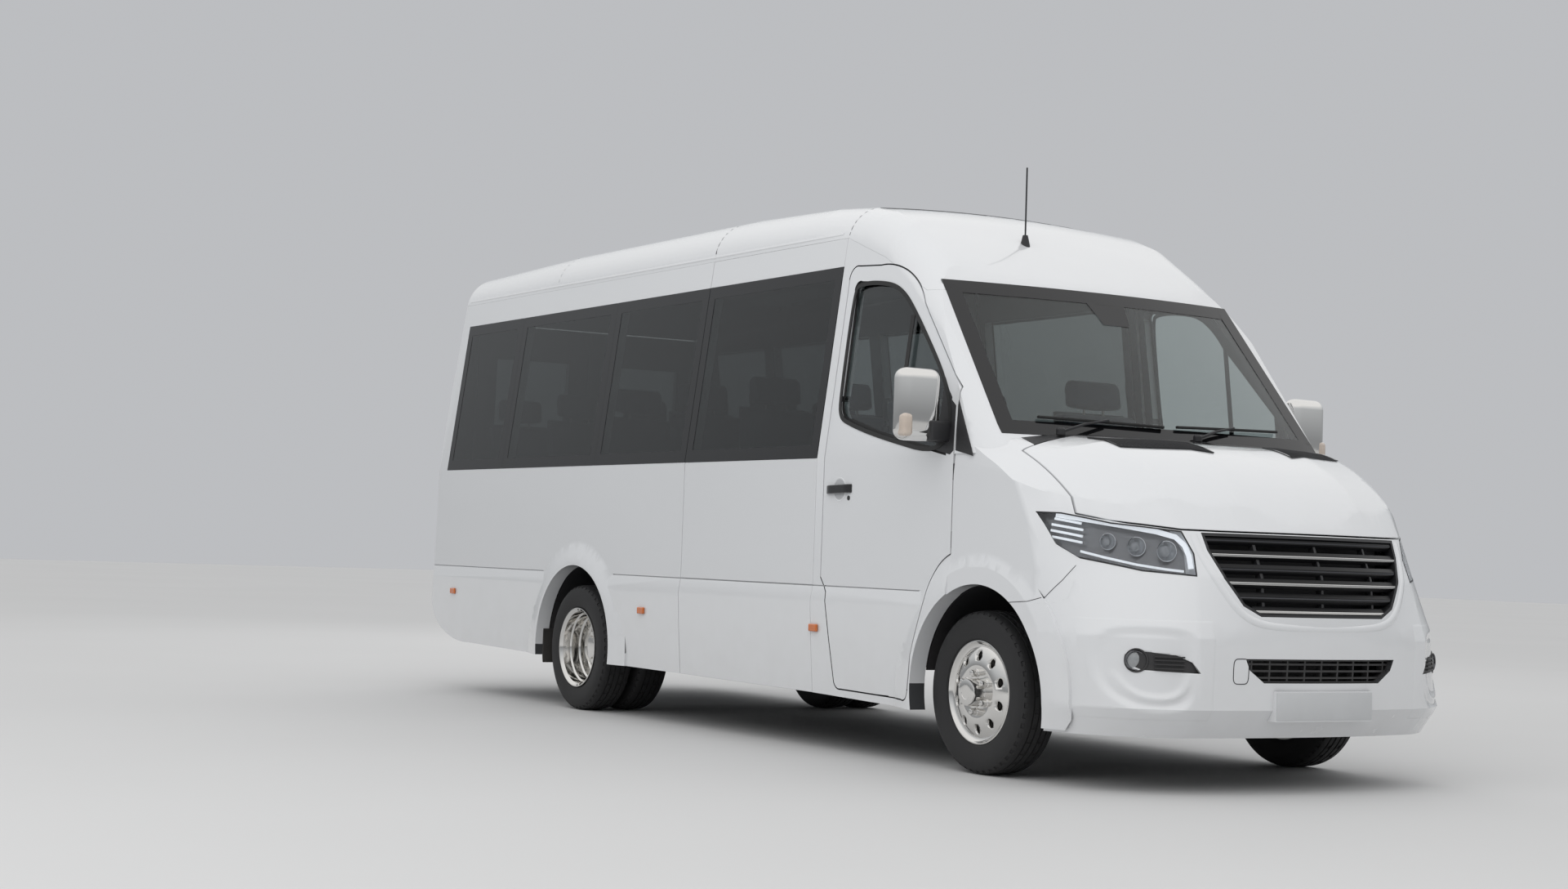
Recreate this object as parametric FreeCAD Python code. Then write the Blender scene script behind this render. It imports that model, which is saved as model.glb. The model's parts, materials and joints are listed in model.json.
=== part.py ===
import FreeCAD, Part
import math
import os

# Minibus: white high-roof body, rear-driven with twin rear wheels, right-hand drive.
# Millimetres, +X forward, +Y to the vehicle's left, +Z up, ground at z = 0.
# It is drawn with x = 0 at the front axle and moved to its own mid-length when saved.

V = FreeCAD.Vector

# Overall size
wheelbase = 3730
frontOverhang = 1080
rearOverhang = 2070
hingeOut = 10
rearAxleX = -wheelbase
rearX = -wheelbase - rearOverhang
axleShift = (wheelbase + rearOverhang + hingeOut - frontOverhang) / 2

# Body side: half widths at heights, from the skirt to the eave
skirtZ, skirtY = 235, 982
ridgeZ, ridgeY = 520, 1003
claddingZ, claddingY = 690, 1012
waistZ, waistY = 757, 1000
grooveDeep, grooveHigh = 7, 5
beltZ, beltY = 1352, 998
eaveZ = 2400
tumblehome = 0.1297
wall = 55
roofWall = 45
innerY = beltY - wall

# Upright seams and gaps
rearSeamX = -2530
cabSeamX = -1250
seam = 4
doorGap = 6.5
doorFlange = 12

# Floor
floorTop = 700
floorThick = 40
bulkheadX = 60
bulkheadThick = 25

# Wheels and arches
tyreR = 345
tyreWidth = 195
flangeR = 220
drumR = 192
shoulder = 18
frontTyreY = 858
twinOuterY = 892
twinInnerY = 668
frontArchX = 60
archR = 455
linerWall = 12
linerInnerY = 525
linerFootZ = 415

# Side glass
glassThick = 5
glassTopZ = 2262
glassEdge = 55

# Windscreen: a plan arc that moves back as it rises
screenFootX, screenFootZ = 150, 1440
screenHeadZ = 2160
screenRake = 0.83
screenCornerY = 900
screenSag = 90
screenGlass = 7
screenEdge = 50

# Rear end
rearLean = 0.05
rearFootZ = 600
cornerR = 75
rearDoorY = 790
rearDoorFootZ = rearFootZ
rearDoorHeadZ = 2300
rearDoorThick = 50

# Steering
kingpinY = 745

# Running clearance of shafts and pins
play = 0.3


def point(plane, offset, a, b):
    return {"xz": V(a, offset, b), "yz": V(offset, a, b), "xy": V(a, b, offset)}[plane]


def outline(plane, offset, path):
    # Two numbers are a corner, four an arc: a point on its way, then its end.
    here = point(plane, offset, path[0][0], path[0][1])
    edges = []
    for step in path[1:] + [path[0][:2]]:
        end = point(plane, offset, step[-2], step[-1])
        if len(step) == 4:
            edges.append(Part.Arc(here, point(plane, offset, step[0], step[1]), end).toShape())
        elif (end - here).Length > 0.01:
            edges.append(Part.LineSegment(here, end).toShape())
        here = end
    return Part.Wire(edges)


def prism(plane, low, high, path):
    along = {"xz": V(0, 1, 0), "yz": V(1, 0, 0), "xy": V(0, 0, 1)}[plane]
    return Part.Face(outline(plane, low, path)).extrude(along * (high - low))


def block(x0, x1, y0, y1, z0, z1):
    return Part.makeBox(x1 - x0, y1 - y0, z1 - z0, V(x0, y0, z0))


def rod(start, end, radius):
    return Part.makeCylinder(radius, (end - start).Length, start, end - start)


def mirrored(shape):
    return shape.mirror(V(0, 0, 0), V(0, 1, 0))


def symmetric(path):
    # closes a half outline, given from the outside inwards at +y, about y = 0
    return path + [(-a, b) for a, b in reversed(path)]


def group(shapes):
    return Part.makeCompound([solid for shape in shapes for solid in shape.Solids])


def bothSides(shape):
    return group([shape, mirrored(shape)])


def fused(shapes):
    return shapes[0].multiFuse(shapes[1:]).removeSplitter()


def grown(path, plane, low, high, by):
    # the same outline moved outwards by a gap, as a prism
    along = {"xz": V(0, 1, 0), "yz": V(1, 0, 0), "xy": V(0, 0, 1)}[plane]
    face = Part.Face(outline(plane, low, path)).makeOffset2D(by)
    return face.extrude(along * (high - low))


def save(name, shape):
    solids = [s for s in shape.Solids if s.Volume > 10]
    part = solids[0] if len(solids) == 1 else Part.makeCompound(solids)
    part = part.translated(V(axleShift, 0, 0))
    part.exportStep("parts/" + name + ".step")
    print(name, len(solids), part.isValid(), round(part.Volume / 1e6, 2))


def sideY(z):
    # half width of the leaning body side above the belt
    return beltY - tumblehome * (z - beltZ)


# Body side wall


def wallPath(top):
    return [
        (skirtY, skirtZ),
        (ridgeY, ridgeZ),
        (claddingY, claddingZ),
        (waistY, waistZ),
        (waistY - grooveDeep, waistZ + 1),
        (waistY - grooveDeep, waistZ + grooveHigh),
        (waistY, waistZ + grooveHigh),
        (beltY, beltZ),
        (sideY(top), top),
        (sideY(top) - wall, top),
        (innerY, beltZ),
        (innerY, skirtZ),
    ]


def sideWall(x0, x1, top):
    return prism("yz", x0, x1, wallPath(top))


def glassSlab(x0, x1, z0, z1, thick):
    return prism("yz", x0, x1, [(sideY(z0), z0), (sideY(z1), z1),
                                (sideY(z1) - thick, z1), (sideY(z0) - thick, z0)])


# Each pane's rear and front end
rearPanes = [(-5610, -4803), (-4797, -3578), (-3572, rearSeamX - seam / 2)]
frontPanes = [(rearSeamX + seam / 2, cabSeamX - seam / 2)]


def withWindows(panel, panes):
    for x0, x1 in panes:
        panel = panel.cut(glassSlab(x0, x1, beltZ, glassTopZ, glassThick))
        panel = panel.cut(block(x0 + glassEdge, x1 - glassEdge, 700, 1100,
                                beltZ + glassEdge, glassTopZ - glassEdge))
    return panel


def paneGlass(panes):
    return group([glassSlab(x0, x1, beltZ, glassTopZ, glassThick) for x0, x1 in panes])


def archHole(x):
    return Part.makeCylinder(archR, 800, V(x, linerInnerY - 100, tyreR), V(0, 1, 0))


def turned(path, x):
    # a ring about the wheel's axle: path gives radius and y
    ring = Part.Face(outline("yz", x, [(y, tyreR + radius) for radius, y in path]))
    return ring.revolve(V(x, 0, tyreR), V(0, 1, 0), 360)


# Flare round an arch: a flat lip, then a slope back into the side
flareOut, flareLip, flareReach = 14, 16, 150


def flare(x):
    edge = claddingY + flareOut
    ring = turned([(archR - 5, innerY + 20), (archR - 5, edge - 3), (archR + flareLip, edge),
                   (archR + flareReach / 2, claddingY + 2), (archR + flareReach, waistY - 3),
                   (archR + flareReach, innerY + 20)], x)
    return ring.common(block(x - 800, x + 800, 0, 1200, skirtZ, 1500))


# Lower edge of the body in side view, sweeping up at the rear
skirtLine = [
    (rearX - 200, 0),
    (rearX - 200, 600),
    (rearX + 25, 600),
    (rearX + 70, 455, rearX + 164, 375),
    (rearX + 330, 320, rearX + 576, 299),
    (rearAxleX - 470, 281),
    (rearSeamX, 272),
    (cabSeamX, 262),
    (-400, 244),
    (200, 235),
    (200, 0),
]

# Rear end


def rearEnvelope(inset):
    # everything ahead of the rear face, a rounded plan outline pushed along the lean
    x0 = rearX + inset
    y1 = claddingY - inset
    reach = cornerR * (1 - math.sqrt(0.5))
    path = [(2000, y1), (x0 + cornerR, y1), (x0 + reach, y1 - reach, x0, y1 - cornerR),
            (x0, cornerR - y1), (x0 + reach, reach - y1, x0 + cornerR, -y1), (2000, -y1)]
    leaning = Part.Face(outline("xy", rearFootZ - 700, path))
    leaning.rotate(V(rearX, 0, rearFootZ), V(0, 1, 0), math.degrees(math.atan(rearLean)))
    return leaning.extrude(V(rearLean, 0, 1) * 3500)


# Greenhouse: roof and upper sides by sections
# x, crown height at the middle, shoulder height, eave height
roofSections = [
    (rearX - 100, 2615, 2576, 2390),
    (-4400, 2650, 2610, 2400),
    (-2300, 2650, 2610, 2400),
    (-1560, 2622, 2588, 2395),
    (-1240, 2588, 2560, 2380),
    (-1060, 2545, 2522, 2345),
    (-900, 2480, 2462, 2290),
    (-660, 2325, 2300, 2130),
    (-440, 2165, 2135, 1960),
    (-150, 1940, 1905, 1740),
    (150, 1700, 1665, 1500),
]
shoulderY = 700
greenFootZ = 1200


def roofSection(x, crown, shoulder, eave, inset):
    edgeY = sideY(eave)
    dy, dz = shoulderY - edgeY, shoulder - eave
    midY, midZ = (shoulderY + edgeY) / 2 + 0.16 * dz, (shoulder + eave) / 2 - 0.16 * dy
    footY = sideY(greenFootZ)
    side = wall if inset else 0
    top = roofWall if inset else 0
    path = [
        (-footY + side, greenFootZ),
        (footY - side, greenFootZ),
        (edgeY - side, eave - 0.2 * top),
        (midY - 0.8 * side, midZ - 0.7 * top, shoulderY - 0.2 * side, shoulder - top),
        (0, crown - top, 0.2 * side - shoulderY, shoulder - top),
        (0.8 * side - midY, midZ - 0.7 * top, side - edgeY, eave - 0.2 * top),
    ]
    return outline("yz", x, path)


def roofLoft(inset):
    return Part.makeLoft([roofSection(*row, inset) for row in roofSections], True, True)


def screenEnvelope(back):
    # everything behind the windscreen surface, moved back by a distance
    shift = screenRake * (screenFootZ - greenFootZ) - back
    x0, xc = screenFootX + shift, screenFootX - screenSag + shift
    path = [(-9000, 1100), (xc - 260, 1100), (xc - 240, 1008), (xc - 85, 972, xc, screenCornerY),
            (x0, 0, xc, -screenCornerY), (xc - 85, -972, xc - 240, -1008),
            (xc - 260, -1100), (-9000, -1100)]
    rise = 1700
    return Part.Face(outline("xy", greenFootZ, path)).extrude(V(-screenRake * rise, 0, rise))


# Roof panel's lower edge in side view
roofCut = [
    (rearX - 300, eaveZ),
    (cabSeamX, eaveZ),
    (-900, 2275),
    (-545, 2095),
    (300, 2095),
    (300, 3000),
    (rearX - 300, 3000),
]

# Cab door outline in side view, with an upright front edge at its hinges
doorEdgeX = -150
doorPath = [
    (-1180, 2180),
    (-1180, 800),
    (-1125, 733),
    (-1060, 340),
    (-1045, 305, -1010, 295),
    (-470, 285),
    (-435, 288, -412, 330),
    (-398, 480),
    (-322, 722),
    (-260, 850, doorEdgeX, 925),
    (doorEdgeX, 1331),
    (-165, 1640),
    (-525, 2030),
    (-700, 2190, -927, 2238),
    (-1110, 2250),
    (-1165, 2235, -1180, 2180),
]

# Cab door window in side view
doorWindow = [
    (-1122, 2120),
    (-1112, 1640),
    (-1095, 1555, -1010, 1515),
    (-760, 1450),
    (-205, 1345),
    (-215, 1600),
    (-560, 1965),
    (-735, 2120, -930, 2165),
    (-1070, 2178),
    (-1115, 2170, -1122, 2120),
]

# Nose in plan, by heights: z, middle x, corner x and y, mid-curve x and y, side x and y
noseSections = [
    (225, 985, 930, 620, 830, 800, 500, 975),
    (340, 1066, 1008, 650, 890, 835, 500, 988),
    (620, 1080, 1020, 620, 840, 850, 480, 1004),
    (870, 1068, 955, 590, 790, 780, 440, 1000),
    (1060, 990, 870, 600, 680, 800, 380, 999),
    (1260, 900, 760, 610, 560, 830, 260, 998),
    (1500, 800, 640, 620, 430, 850, 120, 979),
]
noseRearX = -460

# Nose top in side view, across the width: y, rear x z, knee x z, mid x z, front x z
topSections = [
    (0, 60, 1462, 435, 1425, 790, 1290, 1000, 1052),
    (320, 60, 1461, 430, 1425, 780, 1285, 980, 1052),
    (620, 60, 1455, 390, 1415, 690, 1275, 895, 1050),
    (870, 40, 1436, 240, 1350, 460, 1230, 640, 1085),
    (1040, -160, 1416, 20, 1330, 230, 1230, 420, 1090),
]


def noseSection(z, midX, cornerX, cornerY, curveX, curveY, sideX, edgeY, inset):
    i = inset
    path = [
        (noseRearX + i, edgeY - i),
        (sideX - 0.4 * i, edgeY - i),
        (curveX - 0.7 * i, curveY - 0.7 * i, cornerX - i, cornerY - 0.4 * i),
        (midX - i, 0, cornerX - i, 0.4 * i - cornerY),
        (curveX - 0.7 * i, 0.7 * i - curveY, sideX - 0.4 * i, i - edgeY),
        (noseRearX + i, i - edgeY),
    ]
    return outline("xy", z, path)


def topSection(y, rearX, rearZ, kneeX, kneeZ, midX, midZ, frontX, frontZ, drop):
    path = [
        (-700, 100),
        (-700, rearZ - drop),
        (rearX, rearZ - drop),
        (kneeX, kneeZ - drop),
        (midX - 0.3 * drop, midZ - drop, frontX - 0.6 * drop, frontZ - drop),
        (1400, frontZ - drop),
        (1400, 100),
    ]
    return outline("xz", y, path)


def nose(inset):
    body = Part.makeLoft([noseSection(*row, inset) for row in noseSections], True, True)
    mirroredRows = [(-row[0],) + row[1:] for row in reversed(topSections[1:])]
    top = Part.makeLoft([topSection(*row, inset) for row in mirroredRows + topSections], True, True)
    return body.common(top)


# Front view outlines, left half from the outside in: y, z
bonnetY = 880
bonnetEdge = [(bonnetY, 1600), (bonnetY, 1104), (800, 1079), (600, 1052), (450, 1050)]
lampPath = [(972, 1108), (918, 1106), (800, 1070), (602, 1044), (575, 955), (586, 864),
            (750, 878), (900, 921), (945, 975)]
bumperEdge = [(1100, 150), (1100, 733), (985, 735), (950, 760), (903, 912),
              (750, 871), (580, 857), (568, 955), (592, 1042), (450, 1042)]
grillePath = [(528, 1040), (521, 969), (479, 859), (408, 752), (330, 712)]
intakePath = [(405, 545), (385, 500), (312, 449)]
fogPath = [(868, 528), (815, 566), (655, 552), (600, 482), (800, 492)]
scoopPath = [(940, 560), (925, 625), (870, 668), (650, 664), (600, 610), (585, 480),
             (610, 380), (690, 318), (820, 318), (905, 375), (938, 460)]
scoopDeep = 18
bonnetRearX = 188


def bonnetRegion(gap):
    path = symmetric(bonnetEdge)
    return grown(path, "yz", bonnetRearX - gap, 1300, gap) if gap else \
        prism("yz", bonnetRearX, 1300, path)


os.makedirs("parts", exist_ok=True)

# Greenhouse shell
rearCut = rearEnvelope(0)
rearInner = rearEnvelope(wall)
greenOuter = roofLoft(False).common(screenEnvelope(0)).common(rearCut)
greenInner = roofLoft(True).common(screenEnvelope(roofWall * 1.3)).common(rearInner)
greenShell = greenOuter.cut(greenInner)
roofRegion = prism("xz", -1200, 1200, roofCut)
doorSpace = grown(doorPath, "xz", 0, 1200, doorGap)

# Windscreen glass in its rebate
glassFront = [(screenCornerY, screenFootZ), (screenCornerY, 1481), (832, screenHeadZ - 12)]
holeFront = [(screenCornerY - screenEdge - 20, screenFootZ + screenEdge),
             (832 - screenEdge - 8, screenHeadZ - 12 - screenEdge)]
screenHole = prism("yz", -1200, 400, symmetric(holeFront))
screenSlab = screenEnvelope(0).cut(screenEnvelope(screenGlass))
windscreen = screenSlab.common(prism("yz", -1200, 400, symmetric(glassFront)))
save("windscreen", windscreen)

rearSkin = rearCut.cut(rearInner)
rearHeader = rearSkin.common(block(rearX - 50, rearX + 400, -rearDoorY, rearDoorY,
                                   rearDoorHeadZ, eaveZ))
roof = greenShell.common(roofRegion).cut(windscreen).cut(screenHole).fuse(rearHeader)
save("roof", roof.cut(bothSides(doorSpace)).removeSplitter())

# Tail lamps wrap the rear corners
tailLampZ = (770, 1350)
tailLampInY = 850
tailDepth = 40
lampShell = rearCut.cut(rearEnvelope(tailDepth))
lampBlock = block(rearX - 50, rearX + 150, tailLampInY, 1100, *tailLampZ)
tailLamp = lampShell.common(lampBlock).common(block(rearX, rearX + 150, 700, beltY, 0, 3000))
save("tail_lamps", bothSides(tailLamp))

# Side panels behind the cab, each with a rounded rear corner post
archRear = archHole(rearAxleX)
underSkirt = prism("xz", -1200, 1200, skirtLine)


def rearPanel():
    panel = sideWall(rearX, rearSeamX - seam / 2, eaveZ).common(rearCut).fuse(flare(rearAxleX))
    corner = prism("yz", rearX - 50, rearX + 400, [(rearDoorY, 385), (innerY + 10, 385),
                                                   (innerY + 10, beltZ),
                                                   (sideY(eaveZ) - wall + 10, eaveZ),
                                                   (rearDoorY, eaveZ)])
    panel = panel.fuse(corner.common(rearSkin)).removeSplitter()
    return withWindows(panel.cut(archRear).cut(underSkirt), rearPanes).cut(tailLamp)


leftRear = rearPanel()
save("side_panel_left_rear", leftRear)
save("side_panel_right_rear", mirrored(leftRear))

frontPanel = sideWall(rearSeamX + seam / 2, cabSeamX - seam / 2, eaveZ)
frontPanel = withWindows(frontPanel.cut(underSkirt), frontPanes)
save("side_panel_right_front", mirrored(frontPanel))
save("sliding_door", frontPanel)
save("side_glass", bothSides(group([paneGlass(rearPanes), paneGlass(frontPanes)])))

# Side marker lamps: places along the body, height
markers = [(-5418, 606), (-2932, 578), (-1215, 563)]
markerL, markerH, markerOut = 70, 36, 8


def marker(x, z):
    plate = block(x - markerL / 2, x + markerL / 2, ridgeY - 10, claddingY + markerOut,
                  z - markerH / 2, z + markerH / 2)
    behind = prism("yz", x - markerL, x + markerL, wallPath(eaveZ))
    return plate.cut(behind)


save("side_markers", bothSides(group([marker(x, z) for x, z in markers])))

# Rear doors: two leaves hinged at the corner posts
leafSkin = rearCut.cut(rearEnvelope(rearDoorThick))
leafGap = 4.5
rearGlassBox = (95, rearDoorY - 90, 1400, 2130)


def rearBox(low, high, bottom, top):
    return block(rearX - 50, rearX + 400, low, high, bottom, top)


leaf = leafSkin.common(rearBox(leafGap, rearDoorY - doorGap, rearDoorFootZ + doorGap,
                               rearDoorHeadZ - doorGap))
y0, y1, z0, z1 = rearGlassBox
rearGlass = rearCut.cut(rearEnvelope(glassThick)).common(rearBox(y0, y1, z0, z1))
leaf = leaf.cut(rearGlass).cut(rearBox(y0 + 50, y1 - 50, z0 + 50, z1 - 50))
save("rear_door_left", leaf)
save("rear_door_right", mirrored(leaf))
save("rear_glass_left", rearGlass)
save("rear_glass_right", mirrored(rearGlass))

# Rear hinges: knuckles behind the gap between leaf and post, along the lean
hingeR, hingeL = 10, 90
hingeBack = 8
hingeAxis = V(rearLean, 0, 1)
hinges = []
for z in (800, 1370, 2200):
    foot = V(rearX - hingeBack + rearLean * (z - rearFootZ), rearDoorY, z)
    hinges.append(rod(foot - hingeAxis * (hingeL / 2), foot + hingeAxis * (hingeL / 2), hingeR))
hinges = group(hinges).cut(leftRear)
save("rear_hinges", bothSides(hinges))

# Rear bumper with its step
bumperTopZ, bumperFootZ, bumperDepth = 594, 330, 190
rearBumper = block(rearX - 50, rearX + bumperDepth, -rearDoorY + 4, rearDoorY - 4, bumperFootZ, bumperTopZ)
rearBumper = rearBumper.common(rearCut).cut(underSkirt)
save("rear_bumper", rearBumper)

# Nose shell and its panels
noseOuter = nose(0)
noseInner = nose(wall)
noseShell = noseOuter.cut(noseInner).cut(greenInner)
archFront = archHole(frontArchX)
doorFrontX = -145
frontFlare = flare(frontArchX)
noseFlare = frontFlare.common(nose(-flareOut)).common(block(doorFrontX, 700, 0, 1200, skirtZ, 1500))
noseCut = noseShell.fuse(bothSides(noseFlare)).cut(bothSides(archFront))
bumperRegion = prism("yz", 100, 1300, symmetric(bumperEdge))
lampRegion = bothSides(prism("yz", 300, 1300, lampPath))
grilleRegion = prism("yz", 700, 1300, symmetric(grillePath))
intakeRegion = prism("yz", 700, 1300, symmetric(intakePath))
fogRegion = bothSides(prism("yz", 600, 1300, fogPath))



def band(region, back, depth):
    # what lies in a region between two copies of the nose surface, each moved back
    front = noseOuter.translated(V(-back, 0, 0)).common(region)
    return front.cut(noseOuter.translated(V(-back - depth, 0, 0)).common(region))


plateX, plateHalf, plateZ0, plateZ1 = 1076, 262, 296, 418
scoop = band(bothSides(prism("yz", 400, 1300, scoopPath)), 0, scoopDeep)
bumper = noseCut.common(bumperRegion).cut(grilleRegion).cut(intakeRegion).cut(fogRegion).cut(scoop)
linerRoom = Part.makeCylinder(archR + linerWall + 1, innerY - 300, V(frontArchX, 300, tyreR), V(0, 1, 0))
plateRest = block(1025, plateX, -plateHalf, plateHalf, plateZ0, plateZ1)
bumper = bumper.cut(bothSides(linerRoom)).fuse(plateRest).removeSplitter()
save("front_bumper", bumper)
bonnet = noseShell.common(bonnetRegion(0))
save("bonnet", bonnet)
behindDoorLine = block(-1300, doorFrontX, -1200, 1200, 0, 1600)
wings = noseCut.cut(bumperRegion).cut(lampRegion).cut(bonnetRegion(doorGap)).cut(behindDoorLine)
wings = wings.cut(windscreen).cut(bothSides(doorSpace)).cut(underSkirt)
scuttleRegion = block(30, bonnetRearX - doorGap, 60 - bonnetY, bonnetY - 60, 1330, 1600)
# hinge pins near the middle, where the rear edge is highest, so nothing above them swings back
pinX, pinY, pinL, pinDrop = bonnetRearX - doorGap / 2, 130, 90, 3
pinR = doorGap / 2 - play
pinZ = Part.makeLine(V(pinX, pinY, 1000), V(pinX, pinY, 2000)).common(noseOuter).BoundBox.ZMax - pinDrop
print("bonnet axis", pinX, pinZ)
pin = rod(V(pinX, pinY - pinL / 2, pinZ), V(pinX, pinY + pinL / 2, pinZ), pinR)
scuttle = group([wings.common(scuttleRegion), bothSides(pin)])
save("scuttle", scuttle)
save("front_wings", wings.cut(scuttleRegion))

# Grille: curved slats, side ribs and the lower intake's mesh bars
slatZ = [1012, 953, 898, 843, 787, 732]
slatHalf, slatBack, slatDepth = 9, 22, 30
slatBars = fused([block(700, 1200, -600, 600, z - slatHalf, z + slatHalf) for z in slatZ]
                 + [block(700, 1200, y - 6, y + 6, 700, 1045) for y in (-300, 0, 300)])
slats = band(grilleRegion, slatBack, slatDepth).common(slatBars)
rimBack = 2
rimFace = Part.Face(outline("yz", 700, symmetric(grillePath)))
rimRing = rimFace.extrude(V(500, 0, 0)).cut(rimFace.makeOffset2D(-12).extrude(V(500, 0, 0)))
rim = band(grilleRegion, rimBack, slatBack + slatDepth - rimBack).common(rimRing)
grille = slats.fuse(rim).removeSplitter()
meshBars = fused([block(700, 1200, -420, 420, z - 4, z + 4) for z in (470, 497, 524)]
                 + [block(700, 1200, y - 4, y + 4, 440, 560) for y in range(-360, 361, 90)])
meshRing = Part.Face(outline("yz", 700, symmetric(intakePath)))
meshRing = meshRing.extrude(V(500, 0, 0)).cut(meshRing.makeOffset2D(-8).extrude(V(500, 0, 0)))
mesh = band(intakeRegion, slatBack, slatDepth).common(meshBars.fuse(meshRing))
save("grille", group([grille, mesh]))

# Lamps: clear lens at the skin, housing behind it
lensThick = 4
lampInner = nose(lensThick)
lampBack = nose(wall + 60)
lens = noseOuter.cut(lampInner).common(lampRegion)
save("lamp_lenses", lens)
lampHousing = lampInner.cut(lampBack).common(lampRegion)
fogHousing = noseOuter.translated(V(-18, 0, 0)).cut(noseInner).common(fogRegion)
save("lamp_housings", group([lampHousing, fogHousing]))

# Cab frame: pillars, sills and cowl around the two doors
lowerCab = sideWall(cabSeamX + seam / 2, doorFrontX, beltZ)
lowerCab = lowerCab.fuse(frontFlare.common(block(cabSeamX, doorFrontX, 0, 1200, 0, beltZ))).cut(underSkirt)
upperCab = greenShell.common(block(cabSeamX + seam / 2, 400, 0, 1100, beltZ, 2900))
upperPost = upperCab.cut(roofRegion).cut(noseOuter.common(block(doorFrontX, 400, 0, 1100, 1200, 1600)))
cabPost = lowerCab.fuse(upperPost).removeSplitter()
cabPost = cabPost.cut(doorSpace).cut(archFront).cut(windscreen).cut(screenHole)
save("cab_frame", bothSides(cabPost))

# Cab doors with their glass
doorSolid = lowerCab.fuse(upperCab).removeSplitter().common(prism("xz", 0, 1200, doorPath))
glassCut = prism("xz", 0, 1200, doorWindow)
# the inner layer stands back behind a thin flange, so the rear edge swings clear of the post
flangeBack = [(beltY - doorFlange, skirtZ), (beltY - doorFlange, beltZ), (sideY(eaveZ) - doorFlange, eaveZ),
              (500, eaveZ), (500, skirtZ)]
innerLayer = prism("yz", -1400, 400, flangeBack).cut(grown(doorPath, "xz", 0, 1200, -doorFlange))
door = doorSolid.cut(innerLayer).cut(glassCut)
save("cab_door_left", door)
save("cab_door_right", mirrored(door))
paneOuter = glassSlab(-1300, 100, 1300, 2300, 20).cut(glassSlab(-1300, 100, 1300, 2300, 14))
doorPane = paneOuter.common(glassCut)
save("door_glass_left", doorPane)
save("door_glass_right", mirrored(doorPane))

# Door hinges: pins in the upright front gap
doorPinX, doorPinY, doorPinL = doorEdgeX + doorGap / 2, beltY - 2, 70
doorPins = [rod(V(doorPinX, doorPinY, z), V(doorPinX, doorPinY, z + doorPinL), doorGap / 2 - play)
            for z in (950, 1240)]
save("door_hinges", bothSides(group(doorPins)))

# Mirrors: foot on the door, arm and rounded housing
mirrorX, mirrorY, mirrorZ = -262, 1120, 1560
mirrorW, mirrorH, mirrorD = 210, 315, 110
footPath = [(-270, 1362), (-175, 1345), (-150, 1365), (-175, 1560), (-215, 1590)]
foot = prism("xz", 0, 1200, footPath)
footPlate = foot.common(glassSlab(-400, 0, 1300, 1700, 4).translated(V(0, 5, 0)))
arm = rod(V(-205, 985, 1440), V(mirrorX, mirrorY, 1440), 24)
arm = arm.cut(glassSlab(-400, 0, 1300, 1700, 200).translated(V(0, 1.5, 0)))
shell = block(mirrorX - mirrorD / 2, mirrorX + mirrorD / 2, mirrorY - mirrorW / 2,
              mirrorY + mirrorW / 2, mirrorZ - mirrorH / 2, mirrorZ + mirrorH / 2)
frontEdges = [e for e in shell.Edges if e.BoundBox.XMax > mirrorX]
shell = shell.makeChamfer(34, frontEdges)
mirror = shell.fuse([arm, footPlate]).removeSplitter()
save("mirror_left", mirror)
save("mirror_right", mirrored(mirror))

# Floor and bulkhead
archInner = [Part.makeCylinder(archR + linerWall, 900, V(x, linerInnerY - linerWall, tyreR), V(0, 1, 0))
             for x in (frontArchX, rearAxleX)]
arches = bothSides(group(archInner))
floorRear = block(rearX + 96, cabSeamX + 60, -innerY, innerY, floorTop - floorThick, floorTop)
floorCab = block(cabSeamX + 60, bulkheadX, 12 - innerY, innerY - 12, floorTop - floorThick, floorTop)
bulkhead = block(bulkheadX, bulkheadX + bulkheadThick, -innerY, innerY, floorTop - floorThick, 1400)
bulkhead = bulkhead.common(noseInner)
floor = fused([floorRear.common(rearInner), floorCab, bulkhead]).cut(arches)
save("floor", floor)

# Arch liners: half shells with a closed inner end


def liner(x):
    far = innerY - 10
    outer = Part.makeCylinder(archR + linerWall, far - linerInnerY + linerWall,
                              V(x, linerInnerY - linerWall, tyreR), V(0, 1, 0))
    inner = Part.makeCylinder(archR, far, V(x, linerInnerY, tyreR), V(0, 1, 0))
    return outer.cut(inner).common(block(x - 600, x + 600, 0, 1100, linerFootZ, 1000))


save("arch_liners", bothSides(group([liner(frontArchX), liner(rearAxleX)])))

# Ladder chassis
railY, railW, railZ0 = 410, 60, 520
railZ1 = floorTop - floorThick
railFrontX, railRearX = 820, rearX + bumperDepth
crossX = [640, -740, -1900, -3000, -4480, -5440]
outriggerX = [-1290, -1900, -2480, -3000, -4480, -5440]
rails = [block(railRearX, railFrontX, y, y + railW, railZ0, railZ1) for y in (railY, -railY - railW)]
crosses = [block(x - 35, x + 35, -railY, railY, 570, 640) for x in crossX]
arms = [block(x - 30, x + 30, railY + railW, innerY, 600, railZ1) for x in outriggerX]
padX, padHalf, padDrop = (-1000, -2750), 50, 14
pads = [block(x - padHalf, x + padHalf, railY, railY + railW, railZ0 - padDrop, railZ0) for x in padX]
save("chassis_frame", group(rails + crosses + [bothSides(part) for part in arms + pads]))

# Engine block on its side mounts, radiator at the rail ends
engine = fused([block(170, 600, -260, 260, 500, 1130), rod(V(380, -railY, 600), V(380, railY, 600), 35)])
save("engine", engine)
save("radiator", block(railFrontX, railFrontX + 50, -470, 470, 440, 1000))

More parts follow.
